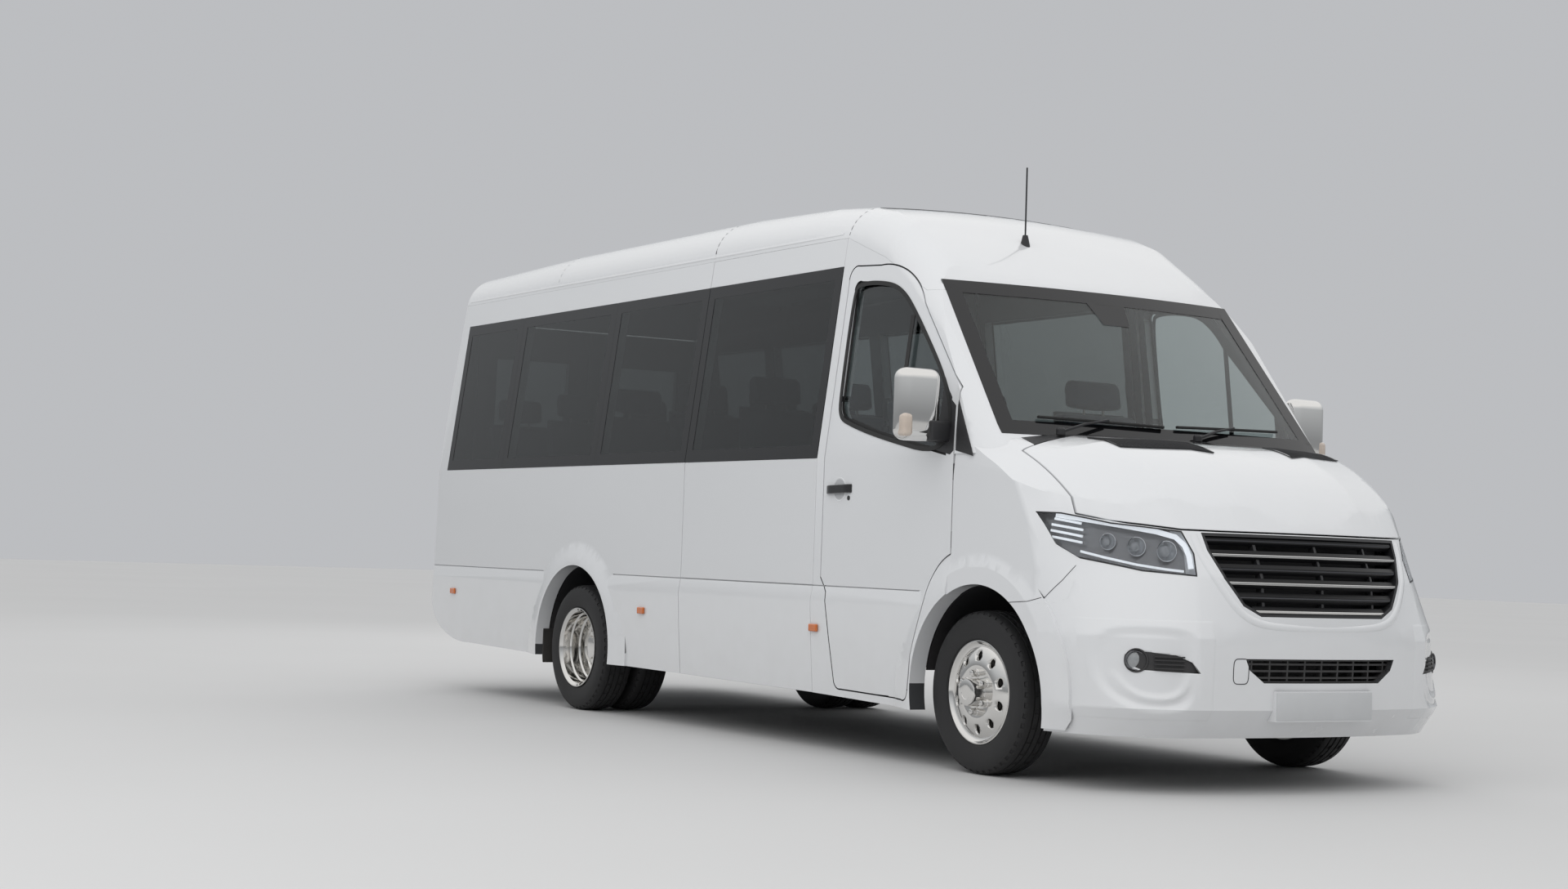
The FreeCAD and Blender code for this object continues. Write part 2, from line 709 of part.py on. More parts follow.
# Front subframe, arms and struts
armLowZ, armHighZ = 215, 455
subframe = block(-240, 320, -470, 470, 300, 400)
posts = [block(-60, 60, railY, railY + railW, 400, railZ0)]
lowArm = fused([block(-40, 40, 460, kingpinY, armLowZ, armLowZ + 30),
                Part.makeCylinder(34, 30, V(0, kingpinY, armLowZ)), block(-60, 60, 440, 500, armLowZ, 310)])
strut = fused([Part.makeCylinder(32, 28, V(0, kingpinY, armHighZ)),
               rod(V(0, kingpinY - 10, armHighZ + 14), V(0, 640, 770), 24)])
subframe = fused([subframe, posts[0], mirrored(posts[0]), lowArm, mirrored(lowArm)])
save("front_axle", group([subframe, strut, mirrored(strut)]))

# Steering knuckles
spindleR = 24
knuckle = fused([Part.makeCylinder(30, armHighZ - armLowZ - 30 - 2 * play,
                                   V(0, kingpinY, armLowZ + 30 + play)),
                 rod(V(0, kingpinY, tyreR), V(0, 872, tyreR), spindleR)])
save("knuckle_left", knuckle)
save("knuckle_right", mirrored(knuckle))


def tyre(x, y, shoulder):
    half = tyreWidth / 2
    path = [(flangeR + play, y - half), (flangeR + play, y + half), (tyreR - shoulder, y + half),
            (tyreR, y + half - shoulder), (tyreR, y - half)]
    return turned(path, x)


def barrel(x, y0, y1):
    return turned([(drumR, y0), (flangeR, y0), (flangeR, y1), (drumR, y1)], x)


def vents(x, y0, y1, radius, count, size):
    holes = []
    for i in range(count):
        a = 2 * math.pi * i / count
        centre = V(x + radius * math.cos(a), y0, tyreR + radius * math.sin(a))
        holes.append(Part.makeCylinder(size, y1 - y0, centre, V(0, 1, 0)))
    return group(holes)


rimHalf = 83
webHoleR = 158
discPath = [
    (spindleR + play, 790),
    (70, 790),
    (70, 902),
    (196, 902),
    (196, 916),
    (128, 916),
    (104, 950),
    (62, 950),
    (58, 1006),
    (0.01, 1006),
    (0.01, 880),
    (spindleR + play, 880),
]
frontRim = fused([barrel(0, frontTyreY - rimHalf, frontTyreY + rimHalf), turned(discPath, 0)])
frontRim = frontRim.cut(vents(0, 890, 930, webHoleR, 10, 17))
save("front_rim_left", frontRim)
save("front_rim_right", mirrored(frontRim))
frontTyre = tyre(0, frontTyreY, shoulder)
save("front_tyre_left", frontTyre)
save("front_tyre_right", mirrored(frontTyre))

# Twin rear wheels on one hub
axleR, axleEndY = 40, 760
twinPath = [
    (axleR + play, 600),
    (90, 600),
    (90, 766),
    (196, 766),
    (196, 796),
    (90, 796),
    (90, 890),
    (64, 905),
    (0.01, 905),
    (0.01, axleEndY + 8),
    (axleR + play, axleEndY + 8),
]
rearRims = fused([barrel(rearAxleX, twinOuterY - tyreWidth / 2, 986),
                  barrel(rearAxleX, twinInnerY - rimHalf, twinInnerY + tyreWidth / 2 + 3),
                  turned(twinPath, rearAxleX)])
rearRims = rearRims.cut(vents(rearAxleX, 760, 800, webHoleR - 8, 10, 20))
rearTyres = group([tyre(rearAxleX, twinOuterY, shoulder),
                   tyre(rearAxleX, twinInnerY, 0)])
save("rear_rims_left", rearRims)
save("rear_rims_right", mirrored(rearRims))
save("rear_tyres_left", rearTyres)
save("rear_tyres_right", mirrored(rearTyres))

# Rear axle on leaf springs
springY, springW, springZ = 408, 64, 400
beam = rod(V(rearAxleX, -560, tyreR), V(rearAxleX, 560, tyreR), 58)
stubs = rod(V(rearAxleX, -axleEndY, tyreR), V(rearAxleX, axleEndY, tyreR), axleR)
diff = turned([(0.01, -210), (70, -200), (138, -80), (138, 80), (70, 200), (0.01, 210)], rearAxleX)
springs = []
for y in (springY, -springY - springW):
    springs.append(block(rearAxleX - 620, rearAxleX + 620, y, y + springW, springZ, springZ + 36))
    springs.append(block(rearAxleX - 620, rearAxleX - 560, y, y + springW, springZ, railZ0))
    springs.append(block(rearAxleX + 560, rearAxleX + 620, y, y + springW, springZ, railZ0))
save("rear_axle", fused([beam, stubs, diff] + springs))

# Fuel tank and exhaust
tank = block(-2420, -1400, 500, 880, 350, 600)
tank = tank.makeFillet(40, [e for e in tank.Edges if e.BoundBox.YLength < 1 and e.BoundBox.ZLength < 1])
save("fuel_tank", tank)
pipePath = [V(140, -300, 470), V(-520, -330, 450), V(-950, -620, 430), V(-3080, -620, 430)]
pipe = []
for a, b in zip(pipePath, pipePath[1:]):
    past = (b - a).normalize() * 12
    pipe.append(rod(a - past, b + past, 28))
pipe.append(rod(V(-2560, -620, 430), V(-1700, -620, 430), 95))
pipe += [rod(V(x, -620, 430), V(x, -620, 600), 8) for x in (-1900, -2480, -3000)]
exhaust = pipe[0]
for piece in pipe[1:]:
    exhaust = exhaust.fuse(piece)
save("exhaust", exhaust)

# Mud flaps behind the rear wheels
flapX = rearAxleX - math.sqrt(archR ** 2 - (linerFootZ - tyreR) ** 2)
flap = block(flapX, flapX + 8, 575, 980, 70, linerFootZ + 14)
flap = flap.common(Part.makeCylinder(archR, 900, V(rearAxleX, 300, tyreR), V(0, 1, 0)))
save("mud_flaps", bothSides(flap))

# Dashboard and steering wheel
dashHalf = 905
dashPath = [
    (bulkheadX, 990),
    (bulkheadX, 1385),
    (-60, 1405),
    (-170, 1385, -225, 1330),
    (-270, 1200),
    (-245, 1010),
    (-180, 990),
]
column = (V(-150, -490, 1130), V(-345, -490, 1262))
dash = prism("xz", -dashHalf, dashHalf, dashPath)
columnAxis = column[1] - column[0]
shaftR = 22
shaft = rod(column[0], column[1], shaftR)
dash = dash.common(noseInner).cut(rod(column[0] - columnAxis * 0.05, column[1], shaftR + play))
save("dashboard", dash)
wheelR, gripR = 195, 13
grip = [(wheelR - gripR, -gripR), (wheelR + gripR, -gripR), (wheelR + gripR, gripR), (wheelR - gripR, gripR)]
ring = Part.Face(outline("xz", 0, grip)).revolve(V(0, 0, 0), V(0, 0, 1), 360)
ring.Placement = FreeCAD.Placement(column[1], FreeCAD.Rotation(V(0, 0, 1), columnAxis))
hubCap = Part.makeCylinder(70, 40, column[1] - columnAxis.normalize() * 12, columnAxis)
spoke = rod(column[1] - V(0, wheelR, 0), column[1] + V(0, wheelR, 0), 11)
save("steering_wheel", fused([ring, hubCap, spoke, shaft]))

# Seats: one side profile, placed by tables; heights from the floor
seatPath = [
    (450, 350),
    (458, 405),
    (436, 450),
    (392, 462),
    (60, 440),
    (-70, 1060),
    (-92, 1102),
    (-130, 1114),
    (-166, 1098),
    (-178, 1050),
    (-50, 400),
    (-22, 355),
    (40, 345),
]
seatW, baseW = 430, 300


def seat(x, y, scale=1):
    width = seatW * scale
    return prism("xz", -width / 2, width / 2, seatPath).translated(V(x, y, floorTop))


def seatBase(x, y):
    return block(x + 110, x + 380, y - baseW / 2, y + baseW / 2, floorTop, floorTop + 345)


# x of the seat's hip point, places across
rows = [(-2100, (-655, -218, 655)), (-2850, (-655, -218, 655)), (-3600, (-655, -218, 655)),
        (-4350, (-655, -218, 655)), (-5180, (-655, -218, 218, 655))]
cabPlaces = [(-960, -490), (-960, 490)]
cabinPlaces = [(x, y) for x, places in rows for y in places]
save("cab_seats", group([seat(x, y, 1.12) for x, y in cabPlaces]))
save("cabin_seats", group([seat(x, y) for x, y in cabinPlaces]))
bases = group([seatBase(x, y) for x, y in cabPlaces + cabinPlaces]).cut(arches)
save("seat_bases", bases)

# Aerial on the roof's front slope
aerialX, aerialY, aerialTop = -760, -190, 2750
aerialBase = Part.makeCone(26, 12, 60, V(aerialX, aerialY, 2370))
whip = rod(V(aerialX, aerialY, 2400), V(aerialX, aerialY, aerialTop), 4)
save("aerial", aerialBase.fuse(whip).cut(greenOuter).removeSplitter())
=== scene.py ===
import bmesh
import bpy
import json
import math
from mathutils import Matrix, Vector
from mathutils.bvhtree import BVHTree


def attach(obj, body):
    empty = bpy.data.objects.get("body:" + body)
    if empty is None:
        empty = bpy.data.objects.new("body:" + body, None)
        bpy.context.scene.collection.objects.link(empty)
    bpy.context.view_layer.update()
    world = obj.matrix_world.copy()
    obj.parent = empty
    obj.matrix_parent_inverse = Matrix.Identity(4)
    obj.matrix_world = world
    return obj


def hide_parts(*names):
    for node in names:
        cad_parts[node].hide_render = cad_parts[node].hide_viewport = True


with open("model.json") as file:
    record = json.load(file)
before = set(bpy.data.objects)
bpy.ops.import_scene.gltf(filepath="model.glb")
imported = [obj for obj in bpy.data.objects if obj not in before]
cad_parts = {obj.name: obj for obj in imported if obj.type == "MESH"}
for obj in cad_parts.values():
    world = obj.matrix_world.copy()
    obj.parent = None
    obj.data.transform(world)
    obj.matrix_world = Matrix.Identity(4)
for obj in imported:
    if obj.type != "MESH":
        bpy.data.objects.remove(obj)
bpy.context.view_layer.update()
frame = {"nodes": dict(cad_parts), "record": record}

# the drawing has x = 0 at the front axle, the frame at mid-length
busForm = {"axleShift": 2.365, "rearAxle": -3.730, "wheelZ": 0.345, "beside": 1.5,
           "room": (-5.5, -0.2, 1.5)}  # the rooms' middle line: from, to and height
nodes = frame["nodes"]
bodyOfNode = {node: body for body, listed in frame["record"]["behaviour"]["bodies"].items()
              for node in listed}
slotOfNode = {row["node"]: row["material_slot"] for row in frame["record"]["subparts"]}


def at(x, y, z):
    return Vector((x + busForm["axleShift"], y, z))


# shader groups shared by several finishes
def newGroup(name, inputs, *outputs):
    group = bpy.data.node_groups.new(name, "ShaderNodeTree")
    for label, value in inputs.items():
        socket = group.interface.new_socket(label, in_out="INPUT", socket_type="NodeSocketFloat")
        socket.default_value = value
    for label in outputs:
        group.interface.new_socket(label, in_out="OUTPUT", socket_type="NodeSocketFloat")
    return group, group.nodes.new("NodeGroupInput"), group.nodes.new("NodeGroupOutput")


def addNode(tree, kind, settings=None, **values):
    node = tree.nodes.new(kind)
    for key, value in (settings or {}).items():
        setattr(node, key, value)
    for key, value in values.items():
        node.inputs[key].default_value = value
    return node


def calculate(tree, operation, *values, clamp=False):
    # a Math node between sockets and plain numbers
    node = addNode(tree, "ShaderNodeMath", {"operation": operation, "use_clamp": clamp})
    for socket, value in zip(node.inputs, values):
        if isinstance(value, float):
            socket.default_value = value
        else:
            tree.links.new(value, socket)
    return node.outputs[0]


def objectNoise(tree, scaleSocket, detail=3.0):
    place = addNode(tree, "ShaderNodeTexCoord")
    noise = addNode(tree, "ShaderNodeTexNoise", Detail=detail)
    tree.links.new(place.outputs["Object"], noise.inputs["Vector"])
    tree.links.new(scaleSocket, noise.inputs["Scale"])
    return noise.outputs["Fac"]


def makeDustGroup():
    # road film: strongest near the ground, broken up by noise
    group, source, sink = newGroup("roadFilm", {"Reach": 0.6, "Amount": 0.5, "Scale": 9.0}, "Mask")
    noise = objectNoise(group, source.outputs["Scale"], 6.0)
    place = addNode(group, "ShaderNodeTexCoord")
    split = addNode(group, "ShaderNodeSeparateXYZ")
    group.links.new(place.outputs["Object"], split.inputs[0])
    share = calculate(group, "DIVIDE", split.outputs["Z"], source.outputs["Reach"])
    fall = calculate(group, "SUBTRACT", 1.0, share, clamp=True)
    broken = calculate(group, "MULTIPLY", fall, noise)
    film = calculate(group, "MULTIPLY", broken, source.outputs["Amount"], clamp=True)
    group.links.new(film, sink.inputs["Mask"])
    return group


def makeGrainGroup():
    # moulded grain: fine cells with a slow change over them
    group, source, sink = newGroup("mouldGrain", {"Scale": 900.0, "Spread": 7.0}, "Height", "Patches")
    group.links.new(objectNoise(group, source.outputs["Scale"], 2.0), sink.inputs["Height"])
    group.links.new(objectNoise(group, source.outputs["Spread"], 3.0), sink.inputs["Patches"])
    return group


def makeWeaveGroup():
    # two crossed waves of yarn
    group, source, sink = newGroup("seatWeave", {"Scale": 260.0}, "Height", "Yarn")
    place = addNode(group, "ShaderNodeTexCoord")
    waves = []
    for direction in ("X", "Z"):
        wave = addNode(group, "ShaderNodeTexWave", {"bands_direction": direction}, Distortion=0.4)
        group.links.new(place.outputs["Object"], wave.inputs["Vector"])
        group.links.new(source.outputs["Scale"], wave.inputs["Scale"])
        waves.append(wave.outputs["Fac"])
    group.links.new(calculate(group, "MAXIMUM", *waves), sink.inputs["Height"])
    group.links.new(waves[0], sink.inputs["Yarn"])
    return group


dustGroup = makeDustGroup()
grainGroup = makeGrainGroup()
weaveGroup = makeWeaveGroup()


class Finish:
    # one material with its Principled shader and a few linked effects
    def __init__(self, name, color, roughness, **sockets):
        self.material = bpy.data.materials.new(name)
        self.material.use_nodes = True
        self.tree = self.material.node_tree
        self.shader = self.tree.nodes["Principled BSDF"]
        self.color = (*color, 1)
        self.roughness = roughness
        self.shader.inputs["Base Color"].default_value = self.color
        self.shader.inputs["Roughness"].default_value = roughness
        for label, value in sockets.items():
            self.shader.inputs[label.replace("_", " ")].default_value = value

    def group(self, group, **values):
        return addNode(self.tree, "ShaderNodeGroup", {"node_tree": group}, **values)

    def mixColor(self, mask, other):
        mix = addNode(self.tree, "ShaderNodeMix", {"data_type": "RGBA"})
        before = self.shader.inputs["Base Color"]
        if before.is_linked:
            self.tree.links.new(before.links[0].from_socket, mix.inputs["A"])
        else:
            mix.inputs["A"].default_value = self.color
        mix.inputs["B"].default_value = (*other, 1)
        self.tree.links.new(mask, mix.inputs["Factor"])
        self.tree.links.new(mix.outputs["Result"], before)
        return self

    def patchy(self, scale, spread, other):
        grain = self.group(grainGroup, Scale=scale, Spread=spread)
        return self.mixColor(grain.outputs["Patches"], other)

    def grained(self, scale, strength, distance=0.0004, other=None):
        grain = self.group(grainGroup, Scale=scale, Spread=6.0)
        if other:
            self.mixColor(grain.outputs["Patches"], other)
        return self.bump(grain.outputs["Height"], strength, distance)

    def bump(self, height, strength, distance):
        node = addNode(self.tree, "ShaderNodeBump", Strength=strength, Distance=distance)
        self.tree.links.new(height, node.inputs["Height"])
        self.tree.links.new(node.outputs["Normal"], self.shader.inputs["Normal"])
        return self

    def dusty(self, reach, amount, tone=(0.23, 0.21, 0.19), low=None, high=0.6):
        film = self.group(dustGroup, Reach=reach, Amount=amount, Scale=7.0).outputs["Mask"]
        self.mixColor(film, tone)
        spread = addNode(self.tree, "ShaderNodeMapRange")
        spread.inputs["To Min"].default_value = self.roughness if low is None else low
        spread.inputs["To Max"].default_value = high
        self.tree.links.new(film, spread.inputs["Value"])
        self.tree.links.new(spread.outputs["Result"], self.shader.inputs["Roughness"])
        return self


glassForm = {"glass_dark": (0.16, 0.18, 0.18), "glass_screen": (0.74, 0.80, 0.78),
             "glass_door": (0.55, 0.60, 0.60)}
trimForm = {  # colour, roughness and other sockets of the small finishes
    "smoked_chrome": ((0.16, 0.16, 0.17), 0.12, {"Metallic": 1.0}),
    "lamp_bezel": ((0.17, 0.172, 0.178), 0.25, {"Coat_Weight": 0.5}),
    # painted light: a faint emission that brightens the unlit light guides behind the lens
    "light_guide_painted_glow": ((0.93, 0.95, 0.97), 0.15,
                    {"Transmission_Weight": 0.1, "Coat_Weight": 1.0,
                     "Emission_Color": (0.90, 0.93, 0.96, 1), "Emission_Strength": 0.38}),
    "frit_black": ((0.008, 0.008, 0.009), 0.08, {"Transmission_Weight": 0.0}),
    # painted shade: a darker white standing for the shade inside the door handle's recess
    "painted_recess_shade": ((0.50, 0.51, 0.525), 0.3, {"Coat_Weight": 1.0}),
    "fog_glass": ((0.75, 0.78, 0.80), 0.05, {"Transmission_Weight": 0.6, "Coat_Weight": 1.0}),
    "plate_grey": ((0.60, 0.61, 0.62), 0.4, {}),
    "mirror_silver": ((0.90, 0.91, 0.92), 0.015, {"Metallic": 1.0}),
    "clear_amber": ((0.82, 0.70, 0.60), 0.06, {"Transmission_Weight": 0.3, "Coat_Weight": 1.0}),
    "grille_black": ((0.006, 0.006, 0.007), 0.34, {"Specular_IOR_Level": 0.25}),
    # painted shade: dark and grey lines standing for the shade in panel gaps and roof joints
    "joint_shade_grey": ((0.42, 0.43, 0.44), 0.5, {}),
    "gap_shade_dark": ((0.045, 0.045, 0.048), 0.6, {}),
}


def makePaint():
    paint = Finish("paintWhite", (0.74, 0.75, 0.765), 0.26, Coat_Weight=1.0, Coat_Roughness=0.03)
    paint.grained(420.0, 0.03, 0.0003).dusty(0.9, 0.28, (0.42, 0.40, 0.37), 0.24, 0.5)
    lining = addNode(paint.tree, "ShaderNodeAttribute", {"attribute_name": "lining"})
    return paint.mixColor(lining.outputs["Fac"], (0.06, 0.062, 0.065))


def makeCloth():
    cloth = Finish("seatCloth", (0.045, 0.055, 0.075), 0.85, Sheen_Weight=0.4)
    weave = cloth.group(weaveGroup, Scale=180.0)
    cloth.bump(weave.outputs["Height"], 0.5, 0.0008)
    return cloth.mixColor(weave.outputs["Yarn"], (0.075, 0.09, 0.12))


def makeFinishes():
    made = {"paint_white": makePaint(), "fabric": makeCloth()}
    for name, tint in glassForm.items():
        glass = Finish(name, tint, 0.0, Transmission_Weight=1.0, IOR=1.45)
        made[name] = glass.patchy(14.0, 1.5, tuple(c * 0.92 for c in tint))
    lens = Finish("lampClear", (0.95, 0.96, 0.98), 0.02, Transmission_Weight=1.0, IOR=1.3)
    made["lamp_clear"] = lens.patchy(30.0, 4.0, (0.90, 0.92, 0.94))

    plastic = Finish("plasticBlack", (0.022, 0.022, 0.024), 0.5)
    made["plastic_black"] = plastic.grained(1400.0, 0.25).dusty(0.7, 0.4, low=0.45, high=0.8)
    plastic = Finish("plasticGloss", (0.012, 0.012, 0.013), 0.14, Coat_Weight=0.6)
    made["plastic_gloss"] = plastic.grained(500.0, 0.04, other=(0.02, 0.02, 0.021))
    plastic = Finish("plasticGrey", (0.13, 0.135, 0.14), 0.6)
    made["plastic_grey"] = plastic.grained(1100.0, 0.3, other=(0.10, 0.105, 0.11))

    red = Finish("lampRed", (0.42, 0.008, 0.010), 0.08, Coat_Weight=1.0, Transmission_Weight=0.25)
    made["lamp_red"] = red.grained(260.0, 0.2, other=(0.30, 0.004, 0.006))
    amber = Finish("lampAmber", (0.80, 0.20, 0.02), 0.1, Coat_Weight=1.0, Transmission_Weight=0.2)
    made["lamp_amber"] = amber.grained(300.0, 0.2, other=(0.62, 0.13, 0.01))
    bowl = Finish("lampBody", (0.70, 0.71, 0.73), 0.10, Metallic=1.0)
    made["lamp_body"] = bowl.grained(260.0, 0.004, other=(0.42, 0.43, 0.45))
    chrome = Finish("chromeTrim", (0.80, 0.79, 0.77), 0.07, Metallic=1.0).grained(60.0, 0.008)
    made["chrome"] = chrome.dusty(0.8, 0.3, (0.30, 0.27, 0.24), 0.06, 0.42)

    tread = Finish("tyreRubber", (0.016, 0.016, 0.017), 0.7).grained(700.0, 0.35)
    made["tyre"] = tread.dusty(0.8, 0.25, (0.06, 0.057, 0.054), 0.68, 0.9)
    sheet = Finish("rubberSheet", (0.018, 0.018, 0.018), 0.62).grained(500.0, 0.25)
    made["rubber"] = sheet.dusty(0.7, 0.4, low=0.6, high=0.85)
    vinyl = Finish("floorVinyl", (0.10, 0.105, 0.11), 0.55)
    made["floor_vinyl"] = vinyl.grained(800.0, 0.3, other=(0.16, 0.165, 0.17))

    chassis = Finish("chassisPaint", (0.025, 0.025, 0.027), 0.45).grained(300.0, 0.3)
    made["steel_black"] = chassis.dusty(1.1, 0.5, low=0.45, high=0.85)
    steel = Finish("bareSteel", (0.36, 0.35, 0.34), 0.38, Metallic=1.0)
    made["steel"] = steel.grained(350.0, 0.2, other=(0.25, 0.20, 0.16)).dusty(0.8, 0.4)
    iron = Finish("castIron", (0.07, 0.07, 0.072), 0.6, Metallic=0.6).grained(240.0, 0.6, 0.001)
    made["cast_iron"] = iron.dusty(0.9, 0.5, low=0.6, high=0.9)

    for name, (color, roughness, sockets) in trimForm.items():
        strength = 0.004 if {"Metallic", "Transmission_Weight"} & set(sockets) else 0.06
        trim = Finish(name, color, roughness, **sockets)
        made[name] = trim.grained(420.0, strength, other=tuple(c * 0.85 for c in color))
    return made


finishes = makeFinishes()
print("finishes made:", len(finishes))


# pieces: naming, finish, body and shading
def newPiece(name, bm):
    mesh = bpy.data.meshes.new(name)
    bm.to_mesh(mesh)
    bm.free()
    piece = bpy.data.objects.new(name, mesh)
    bpy.context.scene.collection.objects.link(piece)
    return piece


def roundEdges(piece, width, segments):
    bevel = piece.modifiers.new("roundEdges", "BEVEL")
    bevel.width = width
    bevel.segments = segments
    bevel.limit_method = "ANGLE"
    bevel.angle_limit = math.radians(35)
    weighted = piece.modifiers.new("evenNormals", "WEIGHTED_NORMAL")
    weighted.keep_sharp = True


def finishPiece(piece, slot, node, finish=None, bevel=0, segments=2):
    # a piece rides on the body of the CAD node that it stands for
    if bevel:
        roundEdges(piece, bevel, segments)
    piece.data.materials.clear()
    piece.data.materials.append(finishes[finish or slot].material)
    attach(piece, bodyOfNode[node] if node else "body")
    if node:
        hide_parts(node)
    return piece


def addPiece(name, bm, slot, node, **looks):
    return finishPiece(newPiece(name, bm), slot, node, **looks)


def shadeByAngle(bm, degrees):
    for face in bm.faces:
        face.smooth = True
    for edge in bm.edges:
        angle = edge.calc_face_angle(None)
        edge.smooth = angle is not None and angle < math.radians(degrees)


def closeUp(bm, degrees=30):
    bmesh.ops.remove_doubles(bm, verts=bm.verts[:], dist=1e-6)
    bmesh.ops.recalc_face_normals(bm, faces=bm.faces[:])
    shadeByAngle(bm, degrees)
    return bm


def mergedCopy(node):
    bm = bmesh.new()
    bm.from_mesh(nodes[node].data)
    bmesh.ops.remove_doubles(bm, verts=bm.verts[:], dist=1e-5)
    bmesh.ops.dissolve_limit(bm, angle_limit=math.radians(0.3), verts=bm.verts[:], edges=bm.edges[:])
    shadeByAngle(bm, 28)
    return bm


def markLining(bm):
    # faces that look into the cab and cabin carry the lining colour
    lining = bm.faces.layers.float.new("lining")
    back, front, height = busForm["room"]
    for face in bm.faces:
        spot = face.calc_center_median()
        along = min(max(spot.x, at(back, 0, 0).x), at(front, 0, 0).x)
        face[lining] = float(face.normal.dot(spot - Vector((along, 0, height))) < 0)
    return bm


def dressNode(node, width=0.0, finish=None):
    bm = mergedCopy(node)
    if slotOfNode[node] == "paint_white":
        markLining(bm)
    addPiece(node + ".skin", bm, slotOfNode[node], node, finish=finish, bevel=width)


# rounding of each CAD node that keeps its own shape
keptNodes = {
    "roof": 0.002, "bonnet": 0.003, "front_bumper": 0.002, "front_wings": 0.002, "scuttle": 0.002,
    "side_panel_left_rear": 0.0015, "side_panel_right_rear": 0.0015, "side_panel_right_front": 0.0015,
    "sliding_door": 0.0015, "cab_frame": 0.0015, "cab_door_left": 0.002, "cab_door_right": 0.002,
    "rear_door_left": 0.003, "rear_door_right": 0.003, "rear_hinges": 0.002, "door_hinges": 0.0,
    "rear_bumper": 0.012, "grille": 0.0015, "arch_liners": 0.0, "chassis_frame": 0.003, "engine": 0.02,
    "radiator": 0.004, "front_axle": 0.004, "knuckle_left": 0.003, "knuckle_right": 0.003,
    "rear_axle": 0.003, "fuel_tank": 0.01, "exhaust": 0.003, "mud_flaps": 0.002, "floor": 0.0,
    "seat_bases": 0.006, "aerial": 0.001, "windscreen": 0.0, "side_glass": 0.0, "rear_glass_left": 0.0,
    "rear_glass_right": 0.0, "door_glass_left": 0.0, "door_glass_right": 0.0, "lamp_lenses": 0.0,
}
for node, width in keptNodes.items():
    dressNode(node, width, "plastic_black" if node == "grille" else None)
print("CAD nodes dressed:", len(keptNodes))


# shaping helpers
def eachSide(make):
    # the vehicle's left at +y, its right at -y
    for side, name in ((1, "left"), (-1, "right")):
        make(side, name)


def mirrored(spot, side):
    return Vector((spot[0], side * spot[1], spot[2]))


def flipped(bm, side):
    # a shape drawn for the left, turned over for the right
    if side < 0:
        bmesh.ops.scale(bm, vec=(1, -1, 1), verts=bm.verts[:])
        bmesh.ops.reverse_faces(bm, faces=bm.faces[:])
    return bm


def surfaceOf(*names):
    bm = bmesh.new()
    for name in names:
        bm.from_mesh(nodes[name].data)
    tree = BVHTree.FromBMesh(bm)
    bm.free()
    return tree


def cast(tree, start, direction, lift=0.0):
    hit, normal = tree.ray_cast(Vector(start), Vector(direction).normalized())[:2]
    return hit + normal * lift if hit else None


def between(start, end, count):
    # the points of a straight line in even steps, with both ends
    return [tuple(a + (b - a) * k / count for a, b in zip(start, end)) for k in range(count + 1)]


def cornersCut(path, rounds, closed=True):
    # rounds a path's corners by taking each one off, again and again
    for _ in range(rounds):
        ends = (path[0], path[-1])
        path = [(a[0] + (b[0] - a[0]) * share, a[1] + (b[1] - a[1]) * share)
                for a, b in zip(path, path[1:] + path[:1] if closed else path[1:])
                for share in (0.25, 0.75)]
        if not closed:
            path = [ends[0]] + path[1:-1] + [ends[1]]
    return path


def sweep(path, profile, up=(0, 0, 1), ups=None):
    # carries a closed profile (across, up) along a path, and caps its ends
    bm = bmesh.new()
    up = Vector(up)
    ring = None
    for i, place in enumerate(path):
        ahead = (path[min(i + 1, len(path) - 1)] - path[max(i - 1, 0)]).normalized()
        across = ahead.cross(Vector(ups[i]) if ups else up).normalized()
        rise = across.cross(ahead)
        spots = [place + across * a + rise * b for a, b in profile]
        if ring is None:
            verts = [bm.verts.new(spot) for spot in spots]
            ring = [bm.edges.new((verts[k - 1], verts[k])) for k in range(len(verts))]
            continue
        made = bmesh.ops.extrude_edge_only(bm, edges=ring)["geom"]
        ring = [part for part in made if isinstance(part, bmesh.types.BMEdge)
                and all(v in made for v in part.verts) and not part.link_faces[1:]]
        fresh = {v for part in ring for v in part.verts}
        verts = [min(fresh, key=lambda v: (v.co - old.co).length) for old in verts]
        for v, spot in zip(verts, spots):
            v.co = spot
    fillHoles(bm)
    return closeUp(bm)


def fillHoles(bm):
    bmesh.ops.holes_fill(bm, edges=[e for e in bm.edges if e.is_boundary], sides=0)


def box(width, height):
    return [(-width / 2, -height / 2), (width / 2, -height / 2), (width / 2, height / 2),
            (-width / 2, height / 2)]


def roundBar(radius, sides=12):
    return [(radius * math.cos(2 * math.pi * k / sides), radius * math.sin(2 * math.pi * k / sides))
            for k in range(sides)]


def lathe(profile, centre, steps=72, axis=(0, 1, 0), out=(0, 0, 1)):
    # turns a closed profile of (radius, along) about an axis through a centre
    bm = bmesh.new()
    axis, out, centre = Vector(axis).normalized(), Vector(out), Vector(centre)
    out = (out - axis * out.dot(axis)).normalized()
    verts = [bm.verts.new(centre + out * radius + axis * along) for radius, along in profile]
    edges = [bm.edges.new((verts[k - 1], verts[k])) for k in range(len(verts))
             if profile[k - 1][0] + profile[k][0] > 0]
    bmesh.ops.spin(bm, geom=verts + edges, cent=centre, axis=axis, angle=2 * math.pi, steps=steps,
                   use_merge=True, use_duplicate=False)
    return closeUp(bm)


def roundedBox(size, centre, radius, segments=4):
    bm = bmesh.new()
    bmesh.ops.create_cube(bm, size=1)
    bmesh.ops.scale(bm, vec=size, verts=bm.verts[:])
    bevelAll(bm, radius, segments)
    bmesh.ops.translate(bm, vec=centre, verts=bm.verts[:])
    return closeUp(bm, 40)


def bevelAll(bm, width, segments):
    bmesh.ops.bevel(bm, geom=bm.edges[:], offset=width, offset_type="OFFSET", segments=segments,
                    profile=0.5, affect="EDGES", material=-1)


